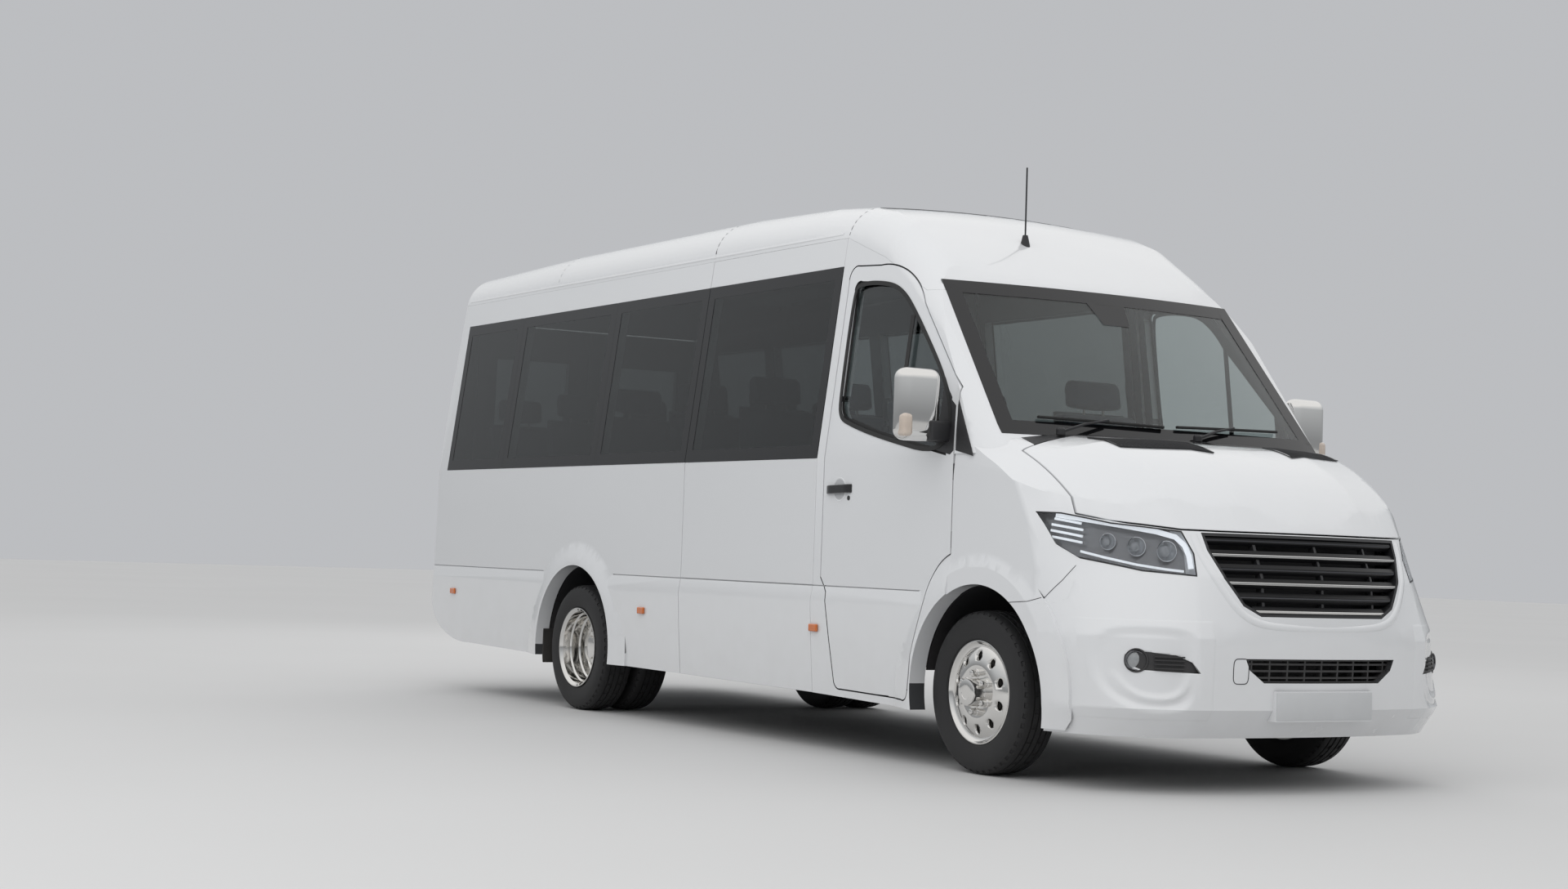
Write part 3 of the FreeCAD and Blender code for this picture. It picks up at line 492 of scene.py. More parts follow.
def joined(*parts):
    bm = bmesh.new()
    for part in parts:
        mesh = bpy.data.meshes.new("part")
        part.to_mesh(mesh)
        part.free()
        bm.from_mesh(mesh)
        bpy.data.meshes.remove(mesh)
    return bm


def thickened(bm, thickness):
    bmesh.ops.recalc_face_normals(bm, faces=bm.faces[:])
    bmesh.ops.solidify(bm, geom=bm.faces[:], thickness=thickness)
    return closeUp(bm)


def dropFaces(bm, faces):
    bmesh.ops.delete(bm, geom=faces, context="FACES")


def frameOnly(bm, width):
    # leaves a frame of this width along a sheet's edge
    ring = bmesh.ops.inset_region(bm, faces=bm.faces[:], thickness=width, use_boundary=True,
                                  use_even_offset=True)["faces"]
    ring = set(ring)
    dropFaces(bm, [face for face in bm.faces if face not in ring])


def sinkPanel(bm, faces, border, depth):
    # sets faces in by a border and moves them along x
    bmesh.ops.inset_region(bm, faces=faces, thickness=border, use_boundary=True, use_even_offset=True)
    bmesh.ops.translate(bm, vec=(depth, 0, 0), verts=list({v for face in faces for v in face.verts}))


def pullFaces(bm, faces, move):
    # extrudes faces along a way, keeping the first ones
    grown = bmesh.ops.extrude_face_region(bm, geom=faces, use_keep_orig=True)["geom"]
    bmesh.ops.translate(bm, vec=move, verts=[part for part in grown if isinstance(part, bmesh.types.BMVert)])


def faceOutward(bm, axis):
    # turns a sheet so that its faces look along an axis (0 for x, 2 for z)
    bmesh.ops.recalc_face_normals(bm, faces=bm.faces[:])
    if sum(face.normal[axis] for face in bm.faces) < 0:
        bmesh.ops.reverse_faces(bm, faces=bm.faces[:])


def evaluated(piece):
    bpy.context.view_layer.update()
    return bpy.data.meshes.new_from_object(piece.evaluated_get(bpy.context.evaluated_depsgraph_get()))


def cutAway(piece, cutter):
    # takes the cutter's shape out of the piece for good
    tool = newPiece("cutter", cutter)
    cut = piece.modifiers.new("cut", "BOOLEAN")
    cut.operation = "DIFFERENCE"
    cut.solver = "EXACT"
    cut.object = tool
    spare, piece.data = piece.data, evaluated(piece)
    piece.modifiers.clear()
    bpy.data.meshes.remove(spare)
    bpy.data.objects.remove(tool)


# black printed borders on the glass, and rubber round the cab windows
borderForm = {"side": 0.062, "screen": 0.078, "rear": 0.040, "lift": 0.0012, "thick": 0.0006,
              "rubber": {"width": 0.016, "lift": 0.002, "thick": 0.003}}


def borderOf(node, facing, width, lift=borderForm["lift"], thick=borderForm["thick"]):
    bm = mergedCopy(node)
    dropFaces(bm, [face for face in bm.faces if not facing(face)])
    frameOnly(bm, width)
    bm.normal_update()
    for v in bm.verts:
        v.co += v.normal * lift
    bmesh.ops.solidify(bm, geom=bm.faces[:], thickness=thick)
    return closeUp(bm)


def sideways(face):
    return face.normal.y * face.calc_center_median().y > 0.7 * abs(face.calc_center_median().y)


def upAndAhead(face):
    return face.normal.x > 0.3 and face.normal.z > 0.3


def backward(face):
    return face.normal.x < -0.7


def makeBorders(side, name):
    glass = "door_glass_" + name
    addPiece(glass + ".rubber", borderOf(glass, sideways, **borderForm["rubber"]), "rubber", glass)
    glass = "rear_glass_" + name
    addPiece(glass + ".border", borderOf(glass, backward, borderForm["rear"]), "plastic_gloss", glass,
             finish="frit_black")


addPiece("side_glass.border", borderOf("side_glass", sideways, borderForm["side"]), "plastic_gloss",
         "side_glass", finish="frit_black")
addPiece("windscreen.border", borderOf("windscreen", upAndAhead, borderForm["screen"]), "plastic_gloss",
         "windscreen", finish="frit_black")
eachSide(makeBorders)
print("glass borders made")

# wheels
tyreForm = {
    "steps": 96, "y": {"front": 0.858, "outer": 0.892, "inner": 0.668},
    "sideRib": (0.326, 0.3395, 0.074), "tread": (0.343, 0.02), "inset": 0.0022, "cut": -0.004,
    "punch": 0.05,
    "profile": [(0.2205, -0.080), (0.226, -0.088), (0.250, -0.0945), (0.285, -0.0972), (0.305, -0.0955),
                (0.318, -0.091), (0.328, -0.086), (0.3385, -0.076), (0.3425, -0.062), (0.3435, -0.048),
                (0.3375, -0.0465), (0.3375, -0.0415), (0.344, -0.040), (0.3448, -0.020),
                (0.3385, -0.0185), (0.3385, -0.0125), (0.3449, -0.011)],
}
frontLiner = {
    "rim": [(0.192, 0.780), (0.2195, 0.780), (0.2195, 0.938), (0.2185, 0.9405), (0.214, 0.941),
            (0.209, 0.937), (0.203, 0.930), (0.197, 0.9275), (0.192, 0.9265)],
    "disc": [(0.192, 0.905), (0.192, 0.9265), (0.182, 0.932), (0.168, 0.9375), (0.150, 0.944),
             (0.130, 0.9485), (0.116, 0.9495), (0.104, 0.9500), (0.098, 0.9485), (0.060, 0.9485),
             (0.058, 0.952), (0.058, 0.996), (0.055, 1.003), (0.046, 1.0055), (0.030, 1.006),
             (0.028, 1.0045), (0.0, 1.0045), (0.0, 0.905)],
    "vents": 10, "ventR": 0.0205, "ventAt": 0.154, "ventY": 0.9375, "lugs": 6, "lugR": 0.0145,
    "lugAt": 0.081, "lugY": 0.9485, "lugTop": 0.034, "drum": (0.05, 0.188, 0.896, 0.008),
}
rearDish = {
    "rim": [(0.192, 0.575), (0.2195, 0.575), (0.2195, 0.983), (0.2185, 0.9855), (0.214, 0.986),
            (0.209, 0.982), (0.203, 0.976), (0.198, 0.972), (0.196, 0.930), (0.188, 0.922),
            (0.186, 0.880), (0.178, 0.872), (0.176, 0.835), (0.168, 0.826), (0.165, 0.800),
            (0.165, 0.782), (0.192, 0.766)],
    "disc": [(0.165, 0.780), (0.165, 0.800), (0.150, 0.7975), (0.118, 0.797), (0.104, 0.800),
             (0.094, 0.812), (0.090, 0.818), (0.090, 0.885), (0.086, 0.892), (0.066, 0.8925),
             (0.063, 0.897), (0.060, 0.9035), (0.050, 0.905), (0.0, 0.905), (0.0, 0.780)],
    "vents": 10, "ventR": 0.0165, "ventAt": 0.141, "ventY": 0.797, "lugs": 10, "lugR": 0.011,
    "lugAt": 0.107, "lugY": 0.799, "lugTop": 0.028, "drum": (0.05, 0.160, 0.776, 0.008),
}


def makeTyre(name, x, y, node):
    half, centre, steps = tyreForm["profile"], at(x, y, busForm["wheelZ"]), tyreForm["steps"]
    bm = lathe(half + [(radius, -along) for radius, along in reversed(half)], centre, steps)
    low, high, wall = tyreForm["sideRib"]
    top, middleRib = tyreForm["tread"]
    lugs = []
    for face in bm.faces:
        spot = face.calc_center_median() - centre
        radius = math.hypot(spot.x, spot.z)
        turn = int(round(math.atan2(spot.z, spot.x) / math.pi * steps))
        if (low < radius < high and abs(spot.y) > wall and turn % 4 in (0, 1)) \
                or (radius > top and turn % 6 == 1 and abs(spot.y) > middleRib):
            lugs.append(face)
    bmesh.ops.inset_individual(bm, faces=lugs, thickness=tyreForm["inset"], depth=tyreForm["cut"])
    fillHoles(bm)
    addPiece(name, closeUp(bm, 34), "tyre", node)


def around(count, radius, x, y):
    # places evenly round a wheel centre, half a step from level
    spots = []
    for k in range(count):
        angle = 2 * math.pi * (k + 0.5) / count
        spots.append(at(x + radius * math.cos(angle), y, busForm["wheelZ"] + radius * math.sin(angle)))
    return spots


def makeWheel(name, form, x, side, node):
    centre, steps = at(x, 0, busForm["wheelZ"]), tyreForm["steps"]
    disc = newPiece(name + ".disc", flipped(lathe(form["disc"], centre, steps), side))
    r, long = form["ventR"], tyreForm["punch"]
    punches = [lathe([(0.0, -long), (r, -long), (r, long), (0.0, long)], mirrored(spot, side), 20)
               for spot in around(form["vents"], form["ventAt"], x, form["ventY"])]
    cutAway(disc, joined(*punches))
    finishPiece(disc, "chrome", node)
    inner, outer, back, thick = form["drum"]
    drum = lathe([(inner, back), (outer, back), (outer, back - thick), (inner, back - thick)], centre, 48)
    addPiece(name + ".drum", flipped(drum, side), "steel_black", node)
    rim = lathe(form["rim"], centre, steps)
    addPiece(name + ".rim", flipped(rim, side), "chrome", node)
    r, top = form["lugR"], form["lugTop"]
    cap = [(r * 1.25, 0), (r * 1.25, 0.003), (r, 0.005), (r * 0.97, top * 0.8), (r * 0.8, top * 0.94),
           (r * 0.4, top), (0.0, top), (0.0, 0)]
    caps = [lathe(cap, spot, 16) for spot in around(form["lugs"], form["lugAt"], x, form["lugY"])]
    addPiece(name + ".caps", flipped(joined(*caps), side), "chrome", node)


def makeWheels(side, name):
    back, y = busForm["rearAxle"], tyreForm["y"]
    makeTyre("front_tyre_%s.tread" % name, 0, side * y["front"], "front_tyre_" + name)
    for place in ("outer", "inner"):
        makeTyre("rear_tyre_%s.%s" % (name, place), back, side * y[place], "rear_tyres_" + name)
    makeWheel("front_rim_" + name, frontLiner, 0, side, "front_rim_" + name)
    makeWheel("rear_rim_" + name, rearDish, back, side, "rear_rims_" + name)


eachSide(makeWheels)
print("wheels made")

# nose surface in plan: z, middle x, corner x and y, mid-curve x and y, side x and y
noseForm = [
    (0.225, 0.985, 0.930, 0.620, 0.830, 0.800, 0.500, 0.975),
    (0.340, 1.066, 1.008, 0.650, 0.890, 0.835, 0.500, 0.988),
    (0.620, 1.080, 1.020, 0.620, 0.840, 0.850, 0.480, 1.004),
    (0.870, 1.068, 0.955, 0.590, 0.790, 0.780, 0.440, 1.000),
    (1.060, 0.990, 0.870, 0.600, 0.680, 0.800, 0.380, 0.999),
    (1.260, 0.900, 0.760, 0.610, 0.560, 0.830, 0.260, 0.998),
]


def arcThrough(a, b, c):
    # middle and radius of the circle through three points
    ax, ay, bx, by, cx, cy = *a, *b, *c
    d = 2 * (ax * (by - cy) + bx * (cy - ay) + cx * (ay - by))
    aa, bb, cc = ax * ax + ay * ay, bx * bx + by * by, cx * cx + cy * cy
    ux = (aa * (by - cy) + bb * (cy - ay) + cc * (ay - by)) / d
    uy = (aa * (cx - bx) + bb * (ax - cx) + cc * (bx - ax)) / d
    return ux, uy, math.hypot(ax - ux, ay - uy)


def onNose(y, z, back=0.0):
    # a point on the nose at a place seen from the front, moved back along x
    low, high = next((pair for pair in zip(noseForm, noseForm[1:]) if z <= pair[1][0]), noseForm[-2:])
    share = (z - low[0]) / (high[0] - low[0])
    row = [a + (b - a) * share for a, b in zip(low, high)]
    middle, corner, bend, edge = (row[1], 0), (row[2], row[3]), (row[4], row[5]), (row[6], row[7])
    if abs(y) <= row[3]:
        cx, cy, radius = arcThrough((row[2], -row[3]), middle, corner)
    else:
        cx, cy, radius = arcThrough(corner, bend, edge)
    x = cx + math.sqrt(max(radius ** 2 - (abs(y) - cy) ** 2, 0))
    return at(x - back, y, z)


def noseNormal(y, z, step=0.004):
    spot = onNose(y, z)
    return (onNose(y + step, z) - spot).cross(onNose(y, z + step) - spot).normalized()


# grille: chrome strips, dark blades with thin edges, and the rounded lip of the body round them
grilleForm = {
    "strips": {"z": (0.953, 0.843, 0.732), "back": 0.007, "short": 0.012, "bar": (0.007, 0.011)},
    "edges": {"z": (1.012, 0.898, 0.787), "back": 0.009, "short": 0.012, "bar": (0.004, 0.005)},
    "blades": {"back": 0.019, "short": 0.010},
    "blade": [(-0.004, -0.022), (0.010, -0.006), (0.010, 0.006), (-0.004, 0.022)],
    "ends": ((1.04, 0.528), (0.969, 0.521), (0.859, 0.479), (0.752, 0.408), (0.712, 0.330)),
}
lipForm = {"path": ((0.560, 1.030), (0.553, 0.962), (0.512, 0.848), (0.436, 0.732), (0.350, 0.682),
                    (0.200, 0.668), (0.000, 0.664)),
           "bead": [(-0.021, -0.004), (-0.013, 0.0025), (-0.004, 0.005), (0.006, 0.005),
                    (0.014, 0.0025), (0.021, -0.004)],
           "sink": 0.0036, "sinkHalf": 0.35}


def grilleEnd(z):
    for (z1, y1), (z0, y0) in zip(grilleForm["ends"], grilleForm["ends"][1:]):
        if z >= z0:
            return y0 + (y1 - y0) * (z - z0) / (z1 - z0)
    return grilleForm["ends"][-1][1]


def noseStrips(heights, form, profile):
    strips = []
    for z in heights:
        reach = grilleEnd(z) - form["short"]
        path = [onNose(y, z, form["back"]) for y, z in between((-reach, z), (reach, z), 24)]
        strips.append(sweep(path, profile))
    return joined(*strips)


def makeGrille():
    strips, edges = grilleForm["strips"], grilleForm["edges"]
    addPiece("grille.strips", noseStrips(strips["z"], strips, box(*strips["bar"])), "chrome", "grille",
             bevel=0.002)
    addPiece("grille.blades", noseStrips(strips["z"] + edges["z"], grilleForm["blades"], grilleForm["blade"]),
             "plastic_gloss", "grille", finish="grille_black", bevel=0.002)
    addPiece("grille.edges", noseStrips(edges["z"], edges, box(*edges["bar"])), "chrome", "grille",
             finish="smoked_chrome")
    half = cornersCut(lipForm["path"], 3, closed=False)
    outline = half + [(-y, z) for y, z in reversed(half[:-1])]
    path = [onNose(y, z, lipForm["sink"] * max(0, 1 - (y / lipForm["sinkHalf"]) ** 2)) for y, z in outline]
    lip = sweep(path, lipForm["bead"], ups=[noseNormal(y, z) for y, z in outline])
    addPiece("grille_lip", lip, "paint_white", "front_bumper")


makeGrille()

# headlamps: a dark cup, bowls with lenses, and light guides
lampForm = {
    "depth": 0.055, "lip": 0.006, "seal": 0.006, "wall": 0.0012, "barSize": (0.012, 0.010),
    "aim": (0.8, 0.6, 0), "axis": (0.93, 0.3, 0.02),
    "projectors": ((0.668, 0.960, 0.040), (0.752, 0.975, 0.037), (0.826, 0.992, 0.032)),
    "bars": ((0.875, 1.062, 0.935, 1.080), (0.875, 1.036, 0.945, 1.056), (0.880, 1.010, 0.950, 1.032),
             (0.885, 0.985, 0.950, 1.006)),
    "strips": (((0.022, 0.008), ((0.930, 1.096), (0.840, 1.074), (0.760, 1.056), (0.680, 1.038),
                                 (0.625, 1.018), (0.603, 0.985), (0.597, 0.945), (0.601, 0.892))),
               ((0.010, 0.008), ((0.625, 0.882), (0.680, 0.888), (0.760, 0.903), (0.840, 0.928),
                                 (0.895, 0.950)))),
    "back": {"bowl": 0.045, "bar": 0.022, "strip": 0.016},
}


def bowlProfile(r):
    return [(r * 0.55, -0.012), (r * 0.62, 0.0), (r * 0.85, 0.010), (r, 0.024), (r + 0.002, 0.0245),
            (r + 0.002, 0.020), (r * 0.9, 0.006), (r * 0.6, -0.014)]


def eyeProfile(r):
    return [(r * 0.6, -0.012), (r * 0.58, 0.002), (r * 0.45, 0.010), (r * 0.25, 0.0145), (0.0, 0.016),
            (0.0, -0.012)]


def lensSheet(side):
    # the outer face of one headlamp lens
    bm = mergedCopy("lamp_lenses")
    outward = mirrored(lampForm["aim"], side)
    dropFaces(bm, [face for face in bm.faces if face.normal.dot(outward) < 0.3
                   or face.calc_center_median().y * side < 0])
    return bm


def makeHeadlamp(side, name):
    outward, axis = mirrored(lampForm["aim"], side), mirrored(lampForm["axis"], side)
    tree = surfaceOf("lamp_lenses")

    def inLamp(spot, back):
        # a point behind the lens, or behind the nose where there is no lens
        y, z = spot
        return (cast(tree, (6, side * y, z), (-1, 0, 0)) or onNose(side * y, z)) - outward * back

    def addLampPart(part, bm, slot, finish, node="lamp_housings", bevel=0):
        addPiece("headlamp_%s.%s" % (name, part), bm, slot, node, finish=finish, bevel=bevel)

    cup = lensSheet(side)
    bmesh.ops.translate(cup, vec=outward * -lampForm["lip"], verts=cup.verts[:])
    front = cup.faces[:]
    pullFaces(cup, front, outward * -lampForm["depth"])
    dropFaces(cup, front)
    addLampPart("bezel", thickened(cup, lampForm["wall"]), "lamp_body", "lamp_bezel")
    seal = lensSheet(side)
    frameOnly(seal, lampForm["seal"])
    bmesh.ops.translate(seal, vec=outward * lampForm["wall"], verts=seal.verts[:])
    addLampPart("seal", thickened(seal, borderForm["thick"]), "plastic_black", None, "lamp_lenses")

    eyes = [(inLamp((y, z), lampForm["back"]["bowl"]), r) for y, z, r in lampForm["projectors"]]
    addLampPart("bowls", joined(*[lathe(bowlProfile(r), spot, 40, axis) for spot, r in eyes]),
                "lamp_body", "mirror_silver")
    addLampPart("eyes", joined(*[lathe(eyeProfile(r), spot, 32, axis) for spot, r in eyes]),
                "lamp_clear", "fog_glass")
    bars = [sweep([inLamp(spot, lampForm["back"]["bar"]) for spot in between(bar[:2], bar[2:], 6)],
                  box(*lampForm["barSize"])) for bar in lampForm["bars"]]
    for size, strip in lampForm["strips"]:
        path = [inLamp(spot, lampForm["back"]["strip"]) for spot in strip]
        bars.append(sweep(path, box(*size), ups=[outward] * len(path)))
    # the light guides glow faintly: painted light, not a lit lamp
    addLampPart("bars", joined(*bars), "lamp_clear", "light_guide_painted_glow", bevel=0.0015)


eachSide(makeHeadlamp)

fogForm = {
    "y": 0.815, "z": 0.528, "radius": 0.036, "back": 0.022, "axis": (0.9, 0.42, 0), "ribBar": (0.010, 0.005),
    "ribs": (0.500, 0.516, 0.532, 0.546), "from": 0.665, "to": 0.765, "ribBack": 0.010, "below": 0.8,
    "collar": [(0.0370, -0.004), (0.0480, -0.004), (0.0480, 0.0022), (0.0465, 0.0034), (0.0420, 0.0030)],
    "ring": ((0.9, -0.012), (1.12, -0.012), (1.14, 0.004), (1.06, 0.010), (0.96, 0.008), (0.9, 0.0)),
    "glass": ((0.92, -0.008), (0.9, 0.002), (0.6, 0.0065), (0.3, 0.0085), (0.0, 0.009), (0.0, -0.008)),
}


def makeFogLamp(side, name):
    pocket = mergedCopy("lamp_housings")
    bmesh.ops.delete(pocket, geom=[v for v in pocket.verts if v.co.y * side < 0
                                   or v.co.z > fogForm["below"]], context="VERTS")
    addPiece("fog_pocket_" + name, closeUp(pocket), "plastic_black", "lamp_housings")
    spot = onNose(side * fogForm["y"], fogForm["z"], fogForm["back"])
    for part, shape, slot, finish, steps in (("fog_ring_", "ring", "chrome", "smoked_chrome", 40),
                                             ("fog_lens_", "glass", "lamp_clear", "fog_glass", 36)):
        profile = [(share * fogForm["radius"], along) for share, along in fogForm[shape]]
        turned = lathe(profile, spot, steps, mirrored(fogForm["axis"], side))
        addPiece(part + name, turned, slot, "lamp_housings", finish=finish)
    ribs = [sweep([onNose(side * y, z, fogForm["ribBack"]) for y, z
                   in between((fogForm["from"], z), (fogForm["to"], z), 8)], box(*fogForm["ribBar"]))
            for z in fogForm["ribs"]]
    addPiece("fog_ribs_" + name, joined(*ribs), "plastic_black", "lamp_housings")


eachSide(makeFogLamp)

# bumper skin: a scoop round each fog lamp, with a blade along its foot
scoopForm = {
    "path": cornersCut(((0.940, 0.560), (0.925, 0.625), (0.870, 0.668), (0.650, 0.664), (0.600, 0.610),
                        (0.585, 0.480), (0.610, 0.380), (0.690, 0.318), (0.820, 0.318), (0.905, 0.375),
                        (0.938, 0.460)), 2),
    "fog": ((0.815, 0.5675), (0.832, 0.563), (0.843, 0.549), (0.847, 0.528), (0.843, 0.507),
            (0.832, 0.493), (0.815, 0.488), (0.790, 0.490), (0.700, 0.487), (0.608, 0.484),
            (0.640, 0.527), (0.690, 0.5525), (0.760, 0.5605), (0.790, 0.566)),
    "low": (0.545, 0.292), "high": (0.958, 0.694), "cells": (60, 58), "deep": 0.0172, "over": 0.0012,
    "soft": 0.040, "fadeIn": (0.59, 0.10), "blade": 0.011, "bladeIn": 0.062, "bladeWide": 0.014,
    "bladeTop": (0.50, 0.07), "bladeStart": (0.60, 0.08), "thick": 0.001, "hole": (0.5, 0.7),
}


def insideBy(path, y, z):
    # distance to a closed path, positive inside it
    near, inside = 9.0, False
    for (y0, z0), (y1, z1) in zip(path, path[1:] + path[:1]):
        dy, dz = y1 - y0, z1 - z0
        share = min(max(((y - y0) * dy + (z - z0) * dz) / (dy * dy + dz * dz), 0), 1)
        near = min(near, math.hypot(y - y0 - share * dy, z - z0 - share * dz))
        if (z0 > z) != (z1 > z) and y < y0 + (z - z0) * dy / dz:
            inside = not inside
    return near if inside else -near


def soft(value):
    value = min(max(value, 0), 1)
    return value * value * (3 - 2 * value)


def bumperBack(y, z):
    # how far the bumper skin sinks behind the plain nose
    form = scoopForm
    reach = insideBy(form["path"], y, z)
    (inner, fade), (top, fall), (start, rise) = form["fadeIn"], form["bladeTop"], form["bladeStart"]
    blade = math.exp(-((reach - form["bladeIn"]) / form["bladeWide"]) ** 2)
    back = form["deep"] * soft(reach / form["soft"]) * soft((y - inner) / fade)
    back -= form["blade"] * blade * soft((top - z) / fall) * soft((y - start) / rise)
    return back - form["over"]


def makeBumperSkin(side, name):
    form = scoopForm
    skin = bmesh.new()
    bmesh.ops.create_grid(skin, x_segments=form["cells"][0], y_segments=form["cells"][1], size=0.5)
    (y0, z0), (y1, z1) = form["low"], form["high"]
    for v in skin.verts:
        y, z = y0 + (y1 - y0) * (v.co.x + 0.5), z0 + (z1 - z0) * (v.co.y + 0.5)
        v.co = onNose(y, z, form["over"] if v.is_boundary else bumperBack(y, z))
    faceOutward(skin, 0)
    piece = newPiece("bumper_corner_" + name, flipped(thickened(skin, form["thick"]), side))
    hole, (start, long) = bmesh.new(), form["hole"]
    lid = hole.faces.new([hole.verts.new(at(start, side * y, z)) for y, z in form["fog"]])
    pullFaces(hole, [lid], (long, 0, 0))
    cutAway(piece, closeUp(hole))
    finishPiece(piece, "paint_white", "front_bumper")
    y, z = fogForm["y"], fogForm["z"]
    spot, aim = onNose(y, z, bumperBack(y, z)), noseNormal(y, z)
    aim *= math.copysign(1, aim.x)
    collar = lathe(fogForm["collar"], mirrored(spot, side), 48, mirrored(aim, side))
    addPiece("fog_collar_" + name, collar, "plastic_black", "lamp_housings")


eachSide(makeBumperSkin)

# seam between wing and bumper, the tow cover's round line and the blank plate
seamForm = {"path": ((0.300, 0.733), (0.420, 0.741), (0.504, 0.762), (0.565, 0.832), (0.610, 0.905)),
            "bar": (0.0024, 0.0024)}
coverForm = {"y": -0.425, "z": 0.495, "half": (0.036, 0.050), "steps": 24, "square": 0.45,
             "bar": (0.0035, 0.0012), "over": 0.0002}
plateForm = {"size": (0.003, 0.520, 0.111), "centre": (1.0775, 0, 0.357), "round": 0.0012}
wingTree = surfaceOf("front_wings", "front_bumper")


def makeWingSeam(side, name):
    spots = [spot for a, b in zip(seamForm["path"], seamForm["path"][1:]) for spot in between(a, b, 6)[:-1]]
    path = [cast(wingTree, at(x, side * busForm["beside"], z), (0, -side, 0)) for x, z in spots]
    seam = sweep([spot for spot in path if spot], box(*seamForm["bar"]))
    # the seam line is painted shade of the gap between wing and bumper
    addPiece("wing_seam_" + name, seam, "plastic_black", "front_wings", finish="gap_shade_dark")


def makeTowCover():
    def bulge(value):
        return math.copysign(abs(value) ** coverForm["square"], value)

    path = []
    for k in range(coverForm["steps"] + 1):
        turn = 2 * math.pi * k / coverForm["steps"]
        path.append(onNose(coverForm["y"] + coverForm["half"][0] * bulge(math.cos(turn)),
                           coverForm["z"] + coverForm["half"][1] * bulge(math.sin(turn)),
                           -coverForm["over"]))
    # the cover's round line is painted shade of the gap round it
    addPiece("tow_cover.line", sweep(path, box(*coverForm["bar"]), up=(1, 0, 0.001)), "plastic_grey",
             "front_bumper", finish="gap_shade_dark")


eachSide(makeWingSeam)
makeTowCover()
plate = roundedBox(plateForm["size"], at(*plateForm["centre"]), plateForm["round"], 2)
addPiece("number_plate.blank", plate, "plastic_grey", None, finish="plate_grey")
print("front fittings made")

# mirrors
mirrorForm = {
    "centre": (-0.262, 1.120, 1.560),
    "parts": {  # offset, size, rounding and its segments, slot, finish; facing, border and depth if sunk
        "shell": ((0, 0, 0), (0.110, 0.210, 0.315), 0.048, 6, "chrome", None, (-0.9, 0.012, 0.012)),
        "pane": ((-0.044, 0, 0), (0.004, 0.132, 0.228), 0.0015, 2, "chrome", "mirror_silver", None),
        "frame": ((-0.034, 0, 0), (0.030, 0.172, 0.275), 0.010, 3, "plastic_black", None,
                  (-0.99, 0.014, 0.008)),
        "arm": ((0.016, -0.088, -0.112), (0.108, 0.104, 0.088), 0.010, 4, "plastic_black", None, None),
        "lamp": ((0.030, 0.076, -0.092), (0.060, 0.052, 0.100), 0.018, 5, "lamp_amber", "clear_amber", None),
    },
}


def makeMirror(side, name):
    centre = at(*mirrorForm["centre"])
    for part, (offset, size, radius, segments, slot, finish, sunk) in mirrorForm["parts"].items():
        bm = roundedBox(size, centre + Vector(offset), radius, segments)
        if sunk:
            facing, border, depth = sunk
            sinkPanel(bm, [face for face in bm.faces if face.normal.x < facing], border, depth)
            closeUp(bm, 40)
        addPiece("mirror_%s_%s" % (part, name), flipped(bm, side), slot, "mirror_" + name, finish=finish)


eachSide(makeMirror)
print("mirrors made")

# bonnet vents: honeycomb sheets with a rim
ventForm = {"outer": ((0.290, 0.62), (0.490, 0.61), (0.620, 0.22), (0.445, 0.22)), "cells": (12, 26),
            "above": 2.0, "lift": 0.0016, "cell": 0.0022, "deep": -0.003, "thick": 0.001,
            "rim": (0.010, 0.004), "rimLift": 0.0022}
bonnetTree = surfaceOf("bonnet")
down = (0, 0, -1)


def sheetOn(tree, corners, cells, direction, lift):
    # a sheet laid on a surface inside four corners
    bm = bmesh.new()
    bmesh.ops.create_grid(bm, x_segments=cells[0], y_segments=cells[1], size=0.5)
    a, b, c, d = corners
    for v in bm.verts:
        u, w = v.co.x + 0.5, v.co.y + 0.5
        spot = a.lerp(b, u).lerp(d.lerp(c, u), w)
        v.co = cast(tree, spot, direction, lift) or spot
    return bm


def makeVent(side, name):
    corners = [at(x, side * y, ventForm["above"]) for x, y in ventForm["outer"]]
    mesh = sheetOn(bonnetTree, corners, ventForm["cells"], down, ventForm["lift"])
    faceOutward(mesh, 2)
    bmesh.ops.inset_individual(mesh, faces=mesh.faces[:], thickness=ventForm["cell"], depth=ventForm["deep"])
    addPiece("bonnet_vent_" + name, thickened(mesh, ventForm["thick"]), "plastic_black", "bonnet")
    spots = [spot for a, b in zip(corners, corners[1:] + corners[:1]) for spot in between(a, b, 8)[:-1]]
    rim = [cast(bonnetTree, spot, down, ventForm["rimLift"]) or Vector(spot) for spot in spots + spots[:1]]
    addPiece("vent_rim_" + name, sweep(rim, box(*ventForm["rim"])), "plastic_gloss", "bonnet")


eachSide(makeVent)

# windscreen: wipers and the sensor's black field
wiperForm = {"blades": ((-0.70, 1.512, -0.06, 1.500), (0.02, 1.505, 0.66, 1.520)),
             "arms": ((-0.66, 1.452, -0.36, 1.506), (0.10, 1.462, 0.36, 1.512)),
             "bladeLift": 0.014, "armLift": 0.026, "bladeBar": (0.020, 0.012), "armBar": (0.016, 0.010),
             "pivot": (0.155, 0.004), "arch": Vector((0, 0, 0.008)),
             "cap": [(0.020, -0.014), (0.020, 0.010), (0.014, 0.018), (0.0, 0.019), (0.0, -0.014)],
             "foot": (0.127, 1.462, 0.8)}
sensorForm = {"field": ((-0.11, 2.09), (0.11, 2.09), (0.075, 1.985), (-0.075, 1.985)), "lift": 0.0018}
screenTree = surfaceOf("windscreen")


def onScreen(y, z, lift):
    # a point over the windscreen, or over its lower edge where there is no glass
    x, foot, slope = wiperForm["foot"]
    return cast(screenTree, (6, y, z), (-1, 0, 0), lift) or at(x - (z - foot) * slope, y, z)


